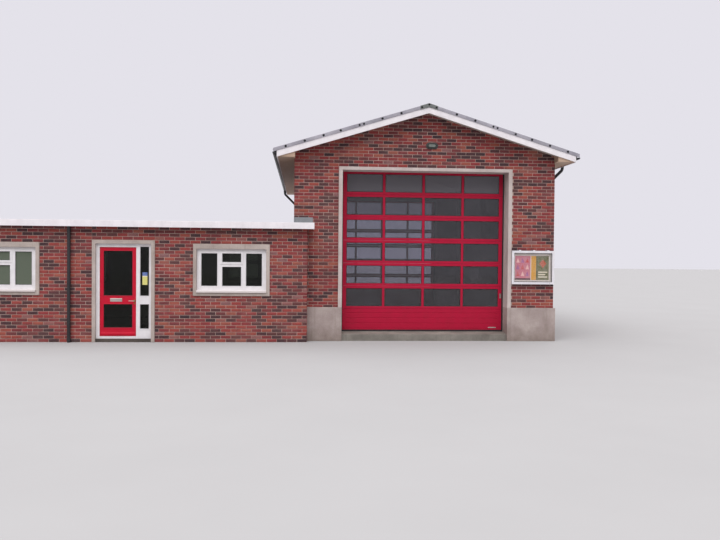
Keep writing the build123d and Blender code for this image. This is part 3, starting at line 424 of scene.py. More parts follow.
def shrink(points, by):
    """A convex outline with each side moved in, or nothing if too little is left."""
    lines = []
    for (x0, y0), (x1, y1) in zip(points, points[1:] + points[:1]):
        length = math.hypot(x1 - x0, y1 - y0)
        if length < 1e-5:
            return None
        nx, ny = -(y1 - y0) / length, (x1 - x0) / length
        lines.append((nx, ny, nx * x0 + ny * y0 + by))
    out = []
    for (a1, b1, c1), (a2, b2, c2) in zip([lines[-1]] + lines[:-1], lines):
        det = a1 * b2 - a2 * b1
        if abs(det) < 1e-6:
            return None
        out.append(((c1 * b2 - c2 * b1) / det, (a1 * c2 - a2 * c1) / det))
    return out if area_of(out) > 1e-4 else None


def without(rect, hole):
    """Parts of a brick's rectangle that a hole leaves."""
    u0, u1, v0, v1 = rect
    a, b, c, d = hole
    if u1 <= a or u0 >= b or v1 <= c or v0 >= d:
        return [rect]
    across = (max(u0, a), min(u1, b))
    parts = (((u0, a, v0, v1), u0 < a), ((b, u1, v0, v1), u1 > b),
             ((*across, v0, c), v0 < c), ((*across, d, v1), v1 > d))
    return [part for part, there in parts if there]


def lay_brick(shape, part, span, place, jitter, cuts, tone):
    """One brick or a piece of it: a face that leans a little, worn edges, and sides back to the mortar."""
    a, b, c, d = part
    if b - a < LEAST_LENGTH or d - c < LEAST_HEIGHT:
        return
    start = a + (WOBBLE * jitter[0] if a > span[0] else 0)
    end = b + (WOBBLE * jitter[1] if b < span[1] else 0)
    low, high = WOBBLE * jitter[2], WOBBLE * jitter[3]
    outline = [(start, c + low), (end, c + high), (end, d + high), (start, d + low)]
    for cut in cuts:
        outline = clip(outline, *cut)
    face = shrink(outline, ARRIS) if len(outline) > 2 else None
    if not face:
        return
    sunk, tilt = 0.0005 + 0.0005 * jitter[5], 0.008 * jitter[4]
    middle = sum(p[0] for p in face) / len(face)
    corners = [place(u, v, max(0.0, sunk + tilt * (u - middle))) for u, v in face]
    for depth in (ARRIS * 0.8, RECESS + 0.001):
        corners += [place(u, v, depth) for u, v in outline]
    n = len(face)
    faces = [list(range(n))]
    for ring in (0, n):
        faces += [[ring + (i + 1) % n, ring + i, ring + n + i, ring + n + (i + 1) % n] for i in range(n)]
    shape.add(corners, faces, 1, tone)


def lay(shape, span, rise, place, origin, phase, seed, holes=(), cuts=()):
    """Lays bricks over a wall face. span and rise are its edges, place(u, v, d) a point d behind the face."""
    dice = random.Random(seed)
    for course in range(int(rise[0] / COURSE) - 1, int(rise[1] / COURSE) + 2):
        v0 = max(course * COURSE + JOINT / 2, rise[0] + JOINT / 2)
        v1 = min((course + 1) * COURSE - JOINT / 2, rise[1])
        if v1 - v0 < LEAST_HEIGHT:
            continue
        offset = origin + (BRICK / 2 if (course + phase) % 2 else 0.0)
        first = math.floor((span[0] - offset) / BRICK) - 1
        last = math.ceil((span[1] - offset) / BRICK) + 1
        for number in range(first, last):
            u0, u1 = offset + number * BRICK, offset + (number + 1) * BRICK - JOINT
            tone, jitter = dice.random(), [dice.uniform(-1, 1) for _ in range(6)]
            if u1 <= span[0] + JOINT or u0 >= span[1] - JOINT:
                continue
            u0, u1 = max(u0, span[0]), min(u1, span[1])
            if u0 - span[0] < LEAST_LENGTH:
                u0 = span[0]
            if span[1] - u1 < LEAST_LENGTH:
                u1 = span[1]
            parts = [(u0, u1, v0, v1)]
            for a, b, c, d in holes:
                hole = (a - HOLE_GAP, b + HOLE_GAP, c - HOLE_GAP, d + HOLE_GAP)
                parts = [p for part in parts for p in without(part, hole)]
            for part in parts:
                lay_brick(shape, part, span, place, jitter, cuts, tone)


def front(y):
    return lambda u, v, d: (u, y + d, v)


def back(y):
    """Seen from behind: u runs along -X, and is measured from zero there."""
    return lambda u, v, d: (-u, y - d, v)


def right(x):
    return lambda u, v, d: (x - d, u, v)


def left(x):
    return lambda u, v, d: (x + d, -u, v)


def outer(*planes):
    """A test for faces of a wall's body: 0 is mortar on the outer planes, 2 is the painted inside."""
    def look_of(normal, centre):
        for axis, where in planes:
            if abs(normal[axis]) > 0.9 and abs(centre[axis] - where) < 1e-3:
                return 0
        return 2
    return look_of


def turned(rect):
    """A rectangle (u0, u1, v0, v1) as it is seen from behind."""
    return (-rect[1], -rect[0], rect[2], rect[3])


LOW_PLANES = (BAY_L, BAY_F, WING_L, WING_F)


def wall(name, nodes, courses, planes):
    """A wall's body with its outer planes moved in to the mortar, and the bricks that courses lays on it."""
    shape = Shape()
    shift = [(axis, where, RECESS if where in LOW_PLANES else -RECESS) for axis, where in planes]
    for node in nodes:
        shape.take(node, outer(*planes), shift)
    for course in courses:
        lay(shape, *course[:6], **(course[6] if len(course) > 6 else {}))
    shape.build(name, ["mortar", "brick", "inner_wall"], "brick", replaces=nodes)


# Bay walls
HALF_W = (BAY_R - BAY_L) / 2
slope = (RIDGE_Z - side_high.z) / (HALF_W - WALL)
edge_z = RIDGE_Z - slope * HALF_W
bay_planes = [(1, BAY_F), (1, BAY_B), (0, BAY_L), (0, BAY_R)]
foot, tail = (BAY_F, BAY_F + WALL, 0, PLINTH_TOP), (BAY_B - WALL, BAY_B, 0, PLINTH_TOP)
wing_hole = (-WING_B, -WING_F, 0, roof_high.z)
wall("bay_side_brickwork", ["bay_side_walls"], [
    ((BAY_F, BAY_B), (0, edge_z), right(BAY_R), BAY_F, 1, 11, {"holes": [foot, tail]}),
    ((-BAY_B, -BAY_F), (0, edge_z), left(BAY_L), -BAY_B, 1, 12,
     {"holes": [turned(foot), turned(tail), wing_hole]}),
], [(0, BAY_L), (0, BAY_R)])
band = (PLINTH_TOP, PORTAL_TOP)
right_end = BAY_L + BRICK / 2 * round((BAY_R - BAY_L) / BRICK * 2)
wall("bay_pier_brickwork", ["bay_piers"], [
    ((BAY_L, PORTAL_L - SIDE_GAP), band, front(BAY_F), BAY_L, 0, 21),
    ((PORTAL_R + SIDE_GAP, BAY_R), band, front(BAY_F), right_end, 0, 22),
    ((-BAY_R, -PORTAL_R - SIDE_GAP), band, back(BAY_B), -BAY_R, 0, 23),
    ((-PORTAL_L + SIDE_GAP, -BAY_L), band, back(BAY_B), -BAY_R, 0, 24),
], bay_planes)
up, down = RIDGE_Z + slope * BAY_X, RIDGE_Z - slope * BAY_X
wall("bay_gable_brickwork", ["bay_gables"], [
    ((BAY_L, BAY_R), (PORTAL_TOP, RIDGE_Z), front(BAY_F), BAY_L, 0, 25,
     {"cuts": [(slope, 1.0, up), (-slope, 1.0, down)]}),
    ((-BAY_R, -BAY_L), (PORTAL_TOP, RIDGE_Z), back(BAY_B), -BAY_R, 0, 26,
     {"cuts": [(slope, 1.0, down), (-slope, 1.0, up)]}),
], bay_planes)

# Wing walls
WINDOW_OUTER = 1.68
windows = [(x, x + WINDOW_OUTER, stone_low.z, stone_high.z)
           for x in (stone_low.x, stone_high.x - WINDOW_OUTER)]
wall("wing_front_left_brickwork", ["wing_front_left"], [
    ((WING_L, wing_l_high.x - SIDE_GAP), (0, WING_TOP), front(WING_F), WING_L, 0, 31, {"holes": windows}),
], [(1, WING_F), (0, WING_L)])
wall("wing_front_right_brickwork", ["wing_front_right"], [
    ((wing_r_low.x + SIDE_GAP, WING_R), (0, WING_TOP), front(WING_F), WING_L, 0, 32, {"holes": windows}),
    ((WING_F, BAY_F - SIDE_GAP), (0, WING_TOP), right(WING_R), WING_F, 1, 33),
], [(1, WING_F), (0, WING_R)])
wall("wing_over_door_brickwork", ["wing_over_door"], [
    ((wing_l_high.x, wing_r_low.x), (over_low.z + SIDE_GAP, WING_TOP), front(WING_F), WING_L, 0, 34),
], [(1, WING_F)])
wall("wing_end_brickwork", ["wing_end_wall"], [
    ((-WING_B, -WING_F), (0, WING_TOP), left(WING_L), -WING_F - 5.5 * BRICK, 1, 35),
], [(0, WING_L)])
wall("wing_rear_brickwork", ["wing_rear_wall"], [
    ((-BAY_L + SIDE_GAP, -WING_L), (0, WING_TOP), back(WING_B), -BAY_L, 0, 36,
     {"holes": [turned(w) for w in windows]}),
], [(1, WING_B), (0, WING_L)])

# CAD nodes whose shape stays: look, slot, width of the rounded edges, nodes
for look, slot, width, nodes in (
    ("floor_screed", "floor_screed", 0, ["bay_floor"]),
    ("concrete", "concrete", 0.006, ["plinths"]),
    ("portal", "concrete", 0.005, ["portal_posts", "portal_lintels"]),
    ("roof_board", "roof_board", 0, ["roof_deck_right", "roof_deck_left"]),
    ("white_board", "white_board", 0.003, ["bargeboards", "wing_fascia"]),
    ("soffit_board", "soffit_board", 0.002, ["boxed_eaves"]),
    ("red_door", "red_door", 0.003, ["front_door_sections", "rear_door_sections"]),
    ("red_door", "red_door", 0.002, ["door_bottoms"]),
    ("bay_pane", "clear_pane", 0, ["front_door_panes", "rear_door_panes"]),
    ("door_seal", "door_seal", 0.003, ["door_seals"]),
    ("notice_case", "notice_case", 0.001, ["notice_board"]),
    ("notice_frame", "notice_frame", 0.002, ["notice_board_door"]),
    ("board_pane", "clear_pane", 0, ["notice_board_glass"]),
    # painted shade: the wing's floor is dark for the shadow under the threshold
    ("door_step", "floor_screed", 0, ["wing_floor"]),
    ("wing_soffit", "felt", 0.003, ["wing_roof"]),
    ("cast_stone", "cast_stone", 0.010, ["window_surrounds", "doorway_surround"]),
    ("sill_frame", "white_frame", 0.003, ["window_frames"]),
    ("window_pane", "clear_pane", 0, ["window_glass"]),
    ("white_frame", "white_frame", 0.002, ["wing_door_frame"]),
    ("dark_pane", "clear_pane", 0, ["sidelight_glass", "wing_door_glass"]),
    ("red_leaf", "red_leaf", 0.002, ["wing_door_leaf"]),
):
    for node in nodes:
        piece = NODES[node]
        piece.data.materials.clear()
        piece.data.materials.append(LOOKS[look])
        if width:
            piece.modifiers.new("weld", "WELD").merge_threshold = 1e-5
            round_edges(piece, width)


# Shapes that the details share
def skin(rings, sides, closed=False):
    """Faces between rings of corners, and over both ends unless the last ring joins the first."""
    faces = []
    for ring in range(rings if closed else rings - 1):
        a, b = ring * sides, (ring + 1) % rings * sides
        faces += [(a + k, a + (k + 1) % sides, b + (k + 1) % sides, b + k) for k in range(sides)]
    if not closed:
        faces += [tuple(range(sides))[::-1], tuple(range((rings - 1) * sides, rings * sides))]
    return faces


def loft(shape, steps, place, look=0, closed=True):
    """A mitred frame: rectangles (u0, u1, v0, v1, depth) joined in turn, the last to the first if closed."""
    corners = []
    for u0, u1, v0, v1, d in steps:
        corners += [place(u0, v0, d), place(u1, v0, d), place(u1, v1, d), place(u0, v1, d)]
    shape.add(corners, skin(len(steps), 4, closed), look)


def grown(rect, *steps):
    """A rectangle grown by each step's first number, at the depth that is its second."""
    u0, u1, v0, v1 = rect
    return [(u0 - by, u1 + by, v0 - by, v1 + by, depth) for by, depth in steps]


def glaze(shape, rect, place, face, glass):
    """A planted bead, look 0, and a rubber strip, look 1, round a pane. face and glass are depths. The strip
    is a real part, drawn wider than a real one as painted shade for the shadow line round the pane.
    """
    bead, slip = 0.003, 0.0008
    loft(shape, grown(rect, (0.014, face + slip), (0.014, face - 0.002), (0.011, face - 0.004),
                      (0.003, face - 0.004), (-bead * 0.5, face), (-bead, face + 0.004),
                      (-bead, glass - slip), (0.001, glass - slip)), place)
    # painted shade: this dark strip is wider than a real gasket, to show the shadow line round the pane
    loft(shape, grown(rect, (-bead, glass - 0.006), (-bead - 0.007, glass - 0.004),
                      (-bead - 0.009, glass - slip), (-bead, glass - slip)), place, 1)


def rounded(points, radius, steps=6):
    """A broken line with its corners rounded."""
    points = [Vector(p) for p in points]
    out = [points[0]]
    for before, at, after in zip(points, points[1:], points[2:]):
        reach = min(radius, 0.45 * (before - at).length, 0.45 * (after - at).length)
        start, end = at + (before - at).normalized() * reach, at + (after - at).normalized() * reach
        for step in range(steps + 1):
            t = step / steps
            out.append(start * (1 - t) ** 2 + at * 2 * t * (1 - t) + end * t ** 2)
    return out + [points[-1]]


def rod(shape, points, radius, sides=16, look=0):
    """A closed round bar along points. radius is one number, or one for each point."""
    points = [Vector(p) for p in points]
    radii = radius if isinstance(radius, (list, tuple)) else [radius] * len(points)
    side, corners = None, []
    for i, point in enumerate(points):
        steps = [b - a for a, b in zip(points[max(i - 1, 0):i + 1], points[max(i, 1):i + 2])]
        way = sum((s.normalized() for s in steps if s.length > 1e-7), Vector()).normalized()
        side = way.orthogonal().normalized() if side is None else (side - way * side.dot(way)).normalized()
        up_side = way.cross(side)
        for k in range(sides):
            angle = 2 * math.pi * k / sides
            corners.append(point + (side * math.cos(angle) + up_side * math.sin(angle)) * radii[i])
    shape.add(corners, skin(len(points), sides), look)


def bolt(shape, base, out, radius, height, sides=10):
    """A washer with a domed cap on a surface."""
    base, out = Vector(base), Vector(out).normalized()
    line = [(0.0, 1.0), (0.2, 1.0), (0.3, 0.84), (0.66, 0.76), (0.9, 0.52), (1.0, 0.2)]
    rod(shape, [base + out * height * h for h, _ in line], [radius * r for _, r in line], sides)


def prism(shape, outline, place, low, high, look=0, tone=0.0):
    """An outline of (u, v) points, counter-clockwise, between two depths. The lesser depth is its face."""
    corners = [place(u, v, d) for d in (low, high) for u, v in outline]
    shape.add(corners, [face[::-1] for face in skin(2, len(outline))], look, tone)


def oblong(u0, u1, v0, v1):
    return [(u0, v0), (u1, v0), (u1, v1), (u0, v1)]


# Roof: corrugated sheets in three rows on each slope
PITCH = math.radians(17)
LEAN, RISE = math.cos(PITCH), math.sin(PITCH)
DECK_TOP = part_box("roof_deck_right")[1].z
WAVE_DEPTH, CREST = 0.054, 0.062
VERGE_F, VERGE_B = barge_low.y, barge_high.y
SHEET_END = FASCIA_OUT + 0.080
WAVE_START = sheets_low.y
WAVES = round((sheets_high.y - sheets_low.y) / 0.1465)
WAVE = (sheets_high.y - sheets_low.y) / WAVES
CREST_SHIFT = 0.5 + 1 / 12
END_LAP, SIDE_LAP, SHEET_THICK = 0.006, 0.002, 0.006
SHEET_WAVES, WAVE_FLATS = 8, 12
SHEET_ROWS = ((0.02, 1.30), (1.16, 2.50), (2.36, SHEET_END / LEAN - 0.006))
BOLT_ROWS, ROOF_BOLT = (0.32, 1.23, 1.85, 2.43, 3.20), (0.017, 0.016)


def wave(y):
    return WAVE_DEPTH / 2 * (1 - math.cos(2 * math.pi * (y - WAVE_START) / WAVE - math.pi / 6))


def on_slope(side, y, reach, rise):
    """A point down the slope from the ridge and square above the deck. side is 1 right, -1 left."""
    return (BAY_X + side * (reach * LEAN + rise * RISE), y, DECK_TOP - reach * RISE + rise * LEAN)


def sheet(shape, side, y_span, reach_span, lift, tone):
    """One corrugated sheet, lifted a little where its lower end and first edge lie on the neighbours."""
    upper, lower = reach_span
    count = round((y_span[1] - y_span[0]) / WAVE * WAVE_FLATS)
    corners = []
    for i in range(count + 1):
        y = y_span[0] + (y_span[1] - y_span[0]) * i / count
        rise = wave(y) + SIDE_LAP * (1 - i / count)
        corners += [on_slope(side, y, reach, rise + more) for reach, more in (
            (upper, SHEET_THICK), (lower, lift + SHEET_THICK), (lower, lift), (upper, 0.0))]
    faces = skin(count + 1, 4)
    shape.add(corners, faces if side > 0 else [face[::-1] for face in faces], 0, tone)


dice = random.Random(5)
for side, name in ((1, "right"), (-1, "left")):
    shape, caps = Shape(), Shape()
    for reach_span in SHEET_ROWS:
        lift = END_LAP if reach_span != SHEET_ROWS[-1] else 0.0
        for number in range(WAVES // SHEET_WAVES):
            y0 = WAVE_START + number * SHEET_WAVES * WAVE
            y1 = min(y0 + (SHEET_WAVES + 0.5) * WAVE, WAVE_START + WAVES * WAVE)
            sheet(shape, side, (y0, y1), reach_span, lift, dice.random())
    shape.build(f"roof_{name}_corrugated", ["roof_sheet"], "roof_sheet", replaces=["roof_sheets_" + name])
    for reach in BOLT_ROWS:
        for number in range(2, WAVES, 3):
            base = on_slope(side, WAVE_START + (number + CREST_SHIFT) * WAVE, reach, WAVE_DEPTH + 0.005)
            bolt(caps, base, (side * RISE, 0, LEAN), *ROOF_BOLT, 8)
    caps.build(f"roof_{name}_bolts", ["dark_cap"], "roof_trim")


def run(shape, section, side, start, end):
    """A section of (y, rise) points drawn out down a slope between two distances from the ridge along X."""
    def place(y, rise, reach):
        return (BAY_X + side * reach, y, over_verge(reach, rise))
    if (area_of(section) > 0) == (side > 0):
        section = section[::-1]
    prism(shape, section, place, start, end)


def over_verge(reach, rise):
    """The height of a point over the deck, at a distance from the ridge along X."""
    return DECK_TOP + (rise - abs(reach) * RISE) / LEAN


def angle_section(face, inward, low, high, cover):
    """An angle: down the front of the verge and in over the sheets, with a rounded outer corner."""
    thick, r, heel = 0.005, 0.008, 0.004
    line = ((0, low), (0, high - r), (r * 0.3, high - r * 0.3), (r, high),
            (cover, high), (cover, high - thick), (thick + heel, high - thick),
            (thick, high - thick - heel), (thick, low))
    return [(face + inward * along, rise) for along, rise in line]


TRIM_JOINT, TRIM_STRAP, CAP_WING, TRIM_COVER = 1.52, 0.045, 0.20, 0.150
VERGE_SPOTS = (0.63, 1.055, 1.475, 1.565, 1.99, 2.37, 2.79, 3.21)
CAP_SPOTS = ((-0.165, 0.030), (0.0, 0.046), (0.165, 0.030))
VERGE_STUD, CAP_STUD, RIDGE_BOLT = (0.027, 0.0075), (0.024, 0.004), (0.016, 0.014)    # radius, height
trims, studs, ridge = Shape(), Shape(), Shape()
for face, inward in ((VERGE_F - 0.008, 1), (VERGE_B + 0.008, -1)):
    for side in (1, -1):
        run(trims, angle_section(face, inward, -0.010, CREST + 0.008, TRIM_COVER), side, 0.0, SHEET_END)
        run(trims, angle_section(face - inward * 0.003, inward, -0.010, CREST + 0.0105, TRIM_COVER), side,
            TRIM_JOINT - TRIM_STRAP, TRIM_JOINT + TRIM_STRAP)
        for reach in VERGE_SPOTS:
            spot = (BAY_X + side * reach, face, over_verge(reach, 0.030))
            bolt(studs, spot, (0, -inward, 0), *VERGE_STUD)
        run(ridge, angle_section(face - inward * 0.004, inward, -0.014, CREST + 0.013, 2 * TRIM_COVER), side,
            0.0, CAP_WING)
    for reach, rise in CAP_SPOTS:
        spot = (BAY_X + reach, face - inward * 0.004, over_verge(reach, rise))
        bolt(studs, spot, (0, -inward, 0), *CAP_STUD)
trims.build("verge_trim_angles", ["roof_trim"], "roof_trim", replaces=["verge_trims"])
studs.build("verge_fixings", ["dark_cap"], "roof_trim")

CAP_LENGTH, CAP_LAP = 1.60, 0.09
CAP_F, CAP_B = VERGE_F + 2 * TRIM_COVER - 0.008, VERGE_B - 2 * TRIM_COVER + 0.008
y = CAP_F
while y < CAP_B:
    stop = min(y + CAP_LENGTH, CAP_B)
    for side in (1, -1):
        for a, rise in ((y, CREST + 0.006), (stop - CAP_LAP, CREST + 0.0085)):
            for thick, start, end in ((0.005, 0.0, CAP_WING - 0.002), (0.022, CAP_WING - 0.006, CAP_WING)):
                run(ridge, oblong(a, stop, rise - thick, rise), side, start, end)
    y = stop
ridge.build("ridge_cap_lengths", ["ridge_trim"], "roof_trim", replaces=["ridge_cap"])
caps, filler = Shape(), Shape()
CAP_BOLT = 0.150
for side in (1, -1):
    for number in range(2, WAVES - 1, 4):
        y = WAVE_START + (number + CREST_SHIFT) * WAVE
        if CAP_F < y - 0.04 and y + 0.04 < CAP_B:
            spot = (BAY_X + side * CAP_BOLT, y, over_verge(CAP_BOLT, CREST + 0.007))
            bolt(caps, spot, (side * RISE, 0, LEAN), *RIDGE_BOLT, 8)
    run(filler, oblong(VERGE_F + 0.03, VERGE_B - 0.03, 0.002, CREST - 0.001), side, CAP_BOLT, 0.172)
caps.build("ridge_bolts", ["dark_cap"], "roof_trim")
filler.build("ridge_filler", ["door_seal"], "roof_trim")

# Gutters with brackets, unions and stop ends
GUTTER_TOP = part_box("bay_gutters")[1].z
GUTTER_X = FASCIA_OUT + 0.050


def trough(shape, side, y0, y1, inner, outer_r, lip=0.0):
    """A half-round channel along Y, open at the top."""
    sides, middle, corners = 18, BAY_X + side * GUTTER_X, []
    for k in range(sides + 1):
        angle = math.pi * k / sides
        corners += [(middle + radius * math.cos(angle), y, GUTTER_TOP - radius * math.sin(angle))
                    for radius, y in ((outer_r, y0), (inner, y0), (inner, y1), (outer_r, y1))]
    shape.add(corners, skin(sides + 1, 4))
    for rim in (-1, 1) if lip else ():
        x = middle + rim * (outer_r - lip)
        rod(shape, [(x, y0, GUTTER_TOP - lip), (x, y1, GUTTER_TOP - lip)], lip, 10)


CHANNEL, STRAP, STOP_END = (0.0455, 0.0480), (0.0475, 0.0498), (0.001, 0.0485)    # inner and outer radius
STOP_THICK, UNION_HALF, BRACKET_HALF, BRACKET_START, BRACKET_PITCH = 0.003, 0.045, 0.013, 0.25, 0.91
gutters = Shape()
for side in (1, -1):
    trough(gutters, side, VERGE_F, VERGE_B, *CHANNEL, lip=0.0035)
    for y in (VERGE_F, VERGE_B - STOP_THICK):
        trough(gutters, side, y, y + STOP_THICK, *STOP_END)
    for number in range(1, 4):
        y = VERGE_F + number * (VERGE_B - VERGE_F) / 4
        trough(gutters, side, y - UNION_HALF, y + UNION_HALF, *STRAP)
    for number in range(12):
        y = VERGE_F + BRACKET_START + number * BRACKET_PITCH
        trough(gutters, side, y - BRACKET_HALF, y + BRACKET_HALF, *STRAP)
        x = BAY_X + side * (FASCIA_OUT + 0.001)
        gutters.block((x, y - 0.020, GUTTER_TOP - 0.055), (x + side * 0.006, y + 0.020, GUTTER_TOP - 0.001))
gutters.build("bay_gutter_runs", ["black_pipe"], "black_pipe", replaces=["bay_gutters"])

# Rainwater pipes with sockets and clips
PIPE_R, PIPE_GAP, SOCKET, PIPE_IN = 0.0375, 0.020, 0.035, 0.0015


def collar(shape, x, y, low, high):
    r, e = PIPE_R + 0.004, 0.003
    rod(shape, [(x, y, z) for z in (low, low + e, high - e, high)], [r - e, r, r, r - e], 20)


def pipe_clip(shape, x, y, z, toward):
    """A band round a pipe and a lug back to the wall. toward is the wall's direction."""
    rod(shape, [(x, y, z + h) for h in (-0.019, -0.017, 0.017, 0.019)],
        [PIPE_R + r for r in (0.001, 0.0035, 0.0035, 0.001)], 20)
    reach, spread, half = PIPE_R + PIPE_GAP - 0.001, 0.022, 0.015
    if toward[0]:
        shape.block((x, y - spread, z - half), (x + toward[0] * reach, y + spread, z + half))
    else:
        shape.block((x - spread, y, z - half), (x + spread, y + toward[1] * reach, z + half))


shape = Shape()
for side, y, face in ((1, BAY_F + 0.75, BAY_R), (-1, BAY_B - 0.75, BAY_L)):
    x_out, x_in = BAY_X + side * GUTTER_X, face + side * (PIPE_GAP + PIPE_R)
    top = GUTTER_TOP - 0.050
    neck = top - 3 * PIPE_R
    low = neck - abs(x_out - x_in)
    line = rounded([(x_out, y, top), (x_out, y, neck), (x_in, y, low), (x_in, y, 0)], 0.05)
    rod(shape, line, PIPE_R - PIPE_IN, 20)
    collar(shape, x_out, y, top - 0.045, top + 0.004)
    for z in (low - 0.06, 1.75, 0.06):
        collar(shape, x_in, y, z - SOCKET, z + SOCKET)
    for z in (0.45, 1.80, 3.15):
        pipe_clip(shape, x_in, y, z, (-side, 0))
shape.build("bay_rainwater_pipes", ["black_pipe"], "black_pipe", replaces=["bay_pipes"])
wing_pipe_low, wing_pipe_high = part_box("wing_pipe")
x, y = (wing_pipe_low.x + wing_pipe_high.x) / 2, WING_F - PIPE_GAP - PIPE_R
shape = Shape()
rod(shape, [(x, y, 0), (x, y, WING_TOP)], PIPE_R - PIPE_IN, 20)
for z in (0.06, 1.30, 2.44):
    collar(shape, x, y, z - SOCKET, z + SOCKET)
for z in (0.375, 1.35, 2.325):
    pipe_clip(shape, x, y, z, (0, 1))
shape.build("wing_rainwater_pipe", ["black_pipe"], "black_pipe", replaces=["wing_pipe"])

# Boards that close the eaves boxes beside the gable walls
EAVES_BOARD = 0.018
returns = Shape()
heights = [v.co.z for v in NODES["boxed_eaves"].data.vertices if abs(v.co.x - BAY_R) < 1e-3]
box_foot, box_top = min(heights), max(heights)
for side in (1, -1):
    ends = [BAY_X + side * HALF_W, BAY_X + side * (HALF_W - EAVES_BOARD)]
    tops = [box_top, box_top + EAVES_BOARD * math.tan(PITCH)]
    for y0, y1 in ((eaves_low.y, BAY_F), (BAY_B, eaves_high.y)):
        points = [(x, y, z) for y in (y0, y1) for x, top in zip(ends, tops) for z in (box_foot, top)]
        returns.add(points, BOX_FACES if side < 0 else [face[::-1] for face in BOX_FACES])
returns.build("eaves_returns", ["eaves_tan"], "soffit_board")

# Gable vent: a flanged oval hood with louvres
vent_low, vent_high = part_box("gable_vent")
vent_x, vent_z = (vent_low.x + vent_high.x) / 2, (vent_low.z + vent_high.z) / 2
half_w, half_h = (vent_high.x - vent_low.x) / 2, (vent_high.z - vent_low.z) / 2
OVAL = 36
HOOD = ((0.0, 0.0), (0.0, 0.012), (0.004, 0.016), (0.020, 0.018), (0.024, 0.030), (0.032, 0.040),
        (0.040, 0.042), (0.044, 0.030))    # how far in from the flange and out from the wall
corners = []
for inset, out in HOOD:
    for k in range(OVAL):
        angle = 2 * math.pi * (k + 0.5) / OVAL
        aside = math.copysign(half_w - half_h, math.cos(angle))
        corners.append((vent_x + aside + (half_h - inset) * math.cos(angle), BAY_F - out,
                        vent_z + (half_h - inset) * math.sin(angle)))
shape = Shape()
shape.add(corners, skin(len(HOOD), OVAL))
for number in range(-1, 2):
    z = vent_z + number * 0.020
    reach = half_w - 0.058 - 0.012 * abs(number)
    louvre = oblong(vent_x - reach, vent_x + reach, z - 0.0065, z + 0.0065)
    prism(shape, louvre, front(BAY_F), -0.041, -0.029, 1)
# the dark hood is partly painted shade round the vent; its louvres are lighter
shape.build("gable_vent_hood", ["vent_flange", "vent_plastic"], "vent_plastic", replaces=["gable_vent"],
            edge=0.001)

# Bay doors: rubber round each pane, and on the front door a bolt and a bare plate
STILE, RAIL, BAR, BAR_PITCH, SECTION_GAP = 0.085, 0.056, 0.056, 0.930, 0.003
SECTION = (door_high.z + SECTION_GAP - FLOOR_TOP) / 7
edges = [door_low.x + STILE]
for bar in (-1, 0, 1):
    edges += [BAY_X + bar * BAR_PITCH - BAR / 2, BAY_X + bar * BAR_PITCH + BAR / 2]
edges.append(door_high.x - STILE)
for name, place, turn in (("front", front(door_low.y), tuple),
                          ("rear", back(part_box("rear_door_sections")[1].y), turned)):
    shape = Shape()
    for number in range(1, 7):
        low = FLOOR_TOP + number * SECTION + RAIL
        high = FLOOR_TOP + (number + 1) * SECTION - SECTION_GAP - RAIL
        for a, b in zip(edges[::2], edges[1::2]):
            loft(shape, grown(turn((a, b, low, high)), (0.0, 0.0118), (0.0, 0.0015), (-0.003, 0.0002),
                              (-0.009, 0.003), (-0.010, 0.0118)), place)
    shape.build(name + "_door_gaskets", ["door_seal"], "door_seal")
PLATE_X, PLATE_Z, BOLT_INSET, BOLT_Z = (5.406, 5.597), (0.268, 0.290), 0.028, 1.027
shape, x, y, z = Shape(), door_high.x - BOLT_INSET, door_low.y, BOLT_Z
shape.block((x - 0.018, y - 0.006, z - 0.055), (x + 0.018, y, z + 0.055))
rod(shape, [(x, y - 0.004, z), (x, y - 0.022, z)], 0.011, 14)
rod(shape, [(x, y - 0.020, z - 0.034), (x, y - 0.020, z + 0.034)], [0.005, 0.007], 12)
shape.block((PLATE_X[0], y - 0.0025, PLATE_Z[0]), (PLATE_X[1], y, PLATE_Z[1]))
shape.build("bay_door_bolt_and_plate", ["handle_metal"], "handle_metal", edge=0.001)

# Notice board: pale lining, a rim line, two generic sheets and a lock
board_low, board_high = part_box("notice_board_door")
CASE_RIM, GLASS_RIM, BOARD_HEIGHT, BOARD_BACK, CASE_FACE = 0.078, 0.052, 0.776, 0.010, -0.042
LOCK_X, LOCK_Z = 6.737, 1.352


def in_board(rim):
    """The rectangle that a rim leaves of the notice board's door."""
    return (board_low.x + rim, board_high.x - rim, board_low.z + rim, board_low.z + BOARD_HEIGHT - rim)


inside, on_pier, paper = in_board(CASE_RIM), front(BAY_F), -BOARD_BACK - 0.003
shape = Shape()
prism(shape, oblong(*inside), on_pier, paper, -BOARD_BACK)
loft(shape, grown(inside, (0.012, CASE_FACE), (0.012, CASE_FACE - 0.003), (0.0, CASE_FACE - 0.003),
                  (0.0, CASE_FACE)), on_pier)
shape.build("notice_lining", ["board_lining"], "notice_frame")


def sheet_of_paper(shape, rect, ground, place, depth, motifs):
    """A sheet with flat printed shapes on it: (outline in shares of the sheet, colour number) each."""
    u0, u1, v0, v1 = rect
    for level, (outline, colour) in enumerate([(oblong(0.0, 1.0, 0.0, 1.0), ground)] + motifs):
        points = [(u0 + a * (u1 - u0), v0 + b * (v1 - v0)) for a, b in outline]
        prism(shape, points, place, depth - 0.0010 - 0.0002 * level, depth, 0, (colour + 0.5) / len(PRINTS))


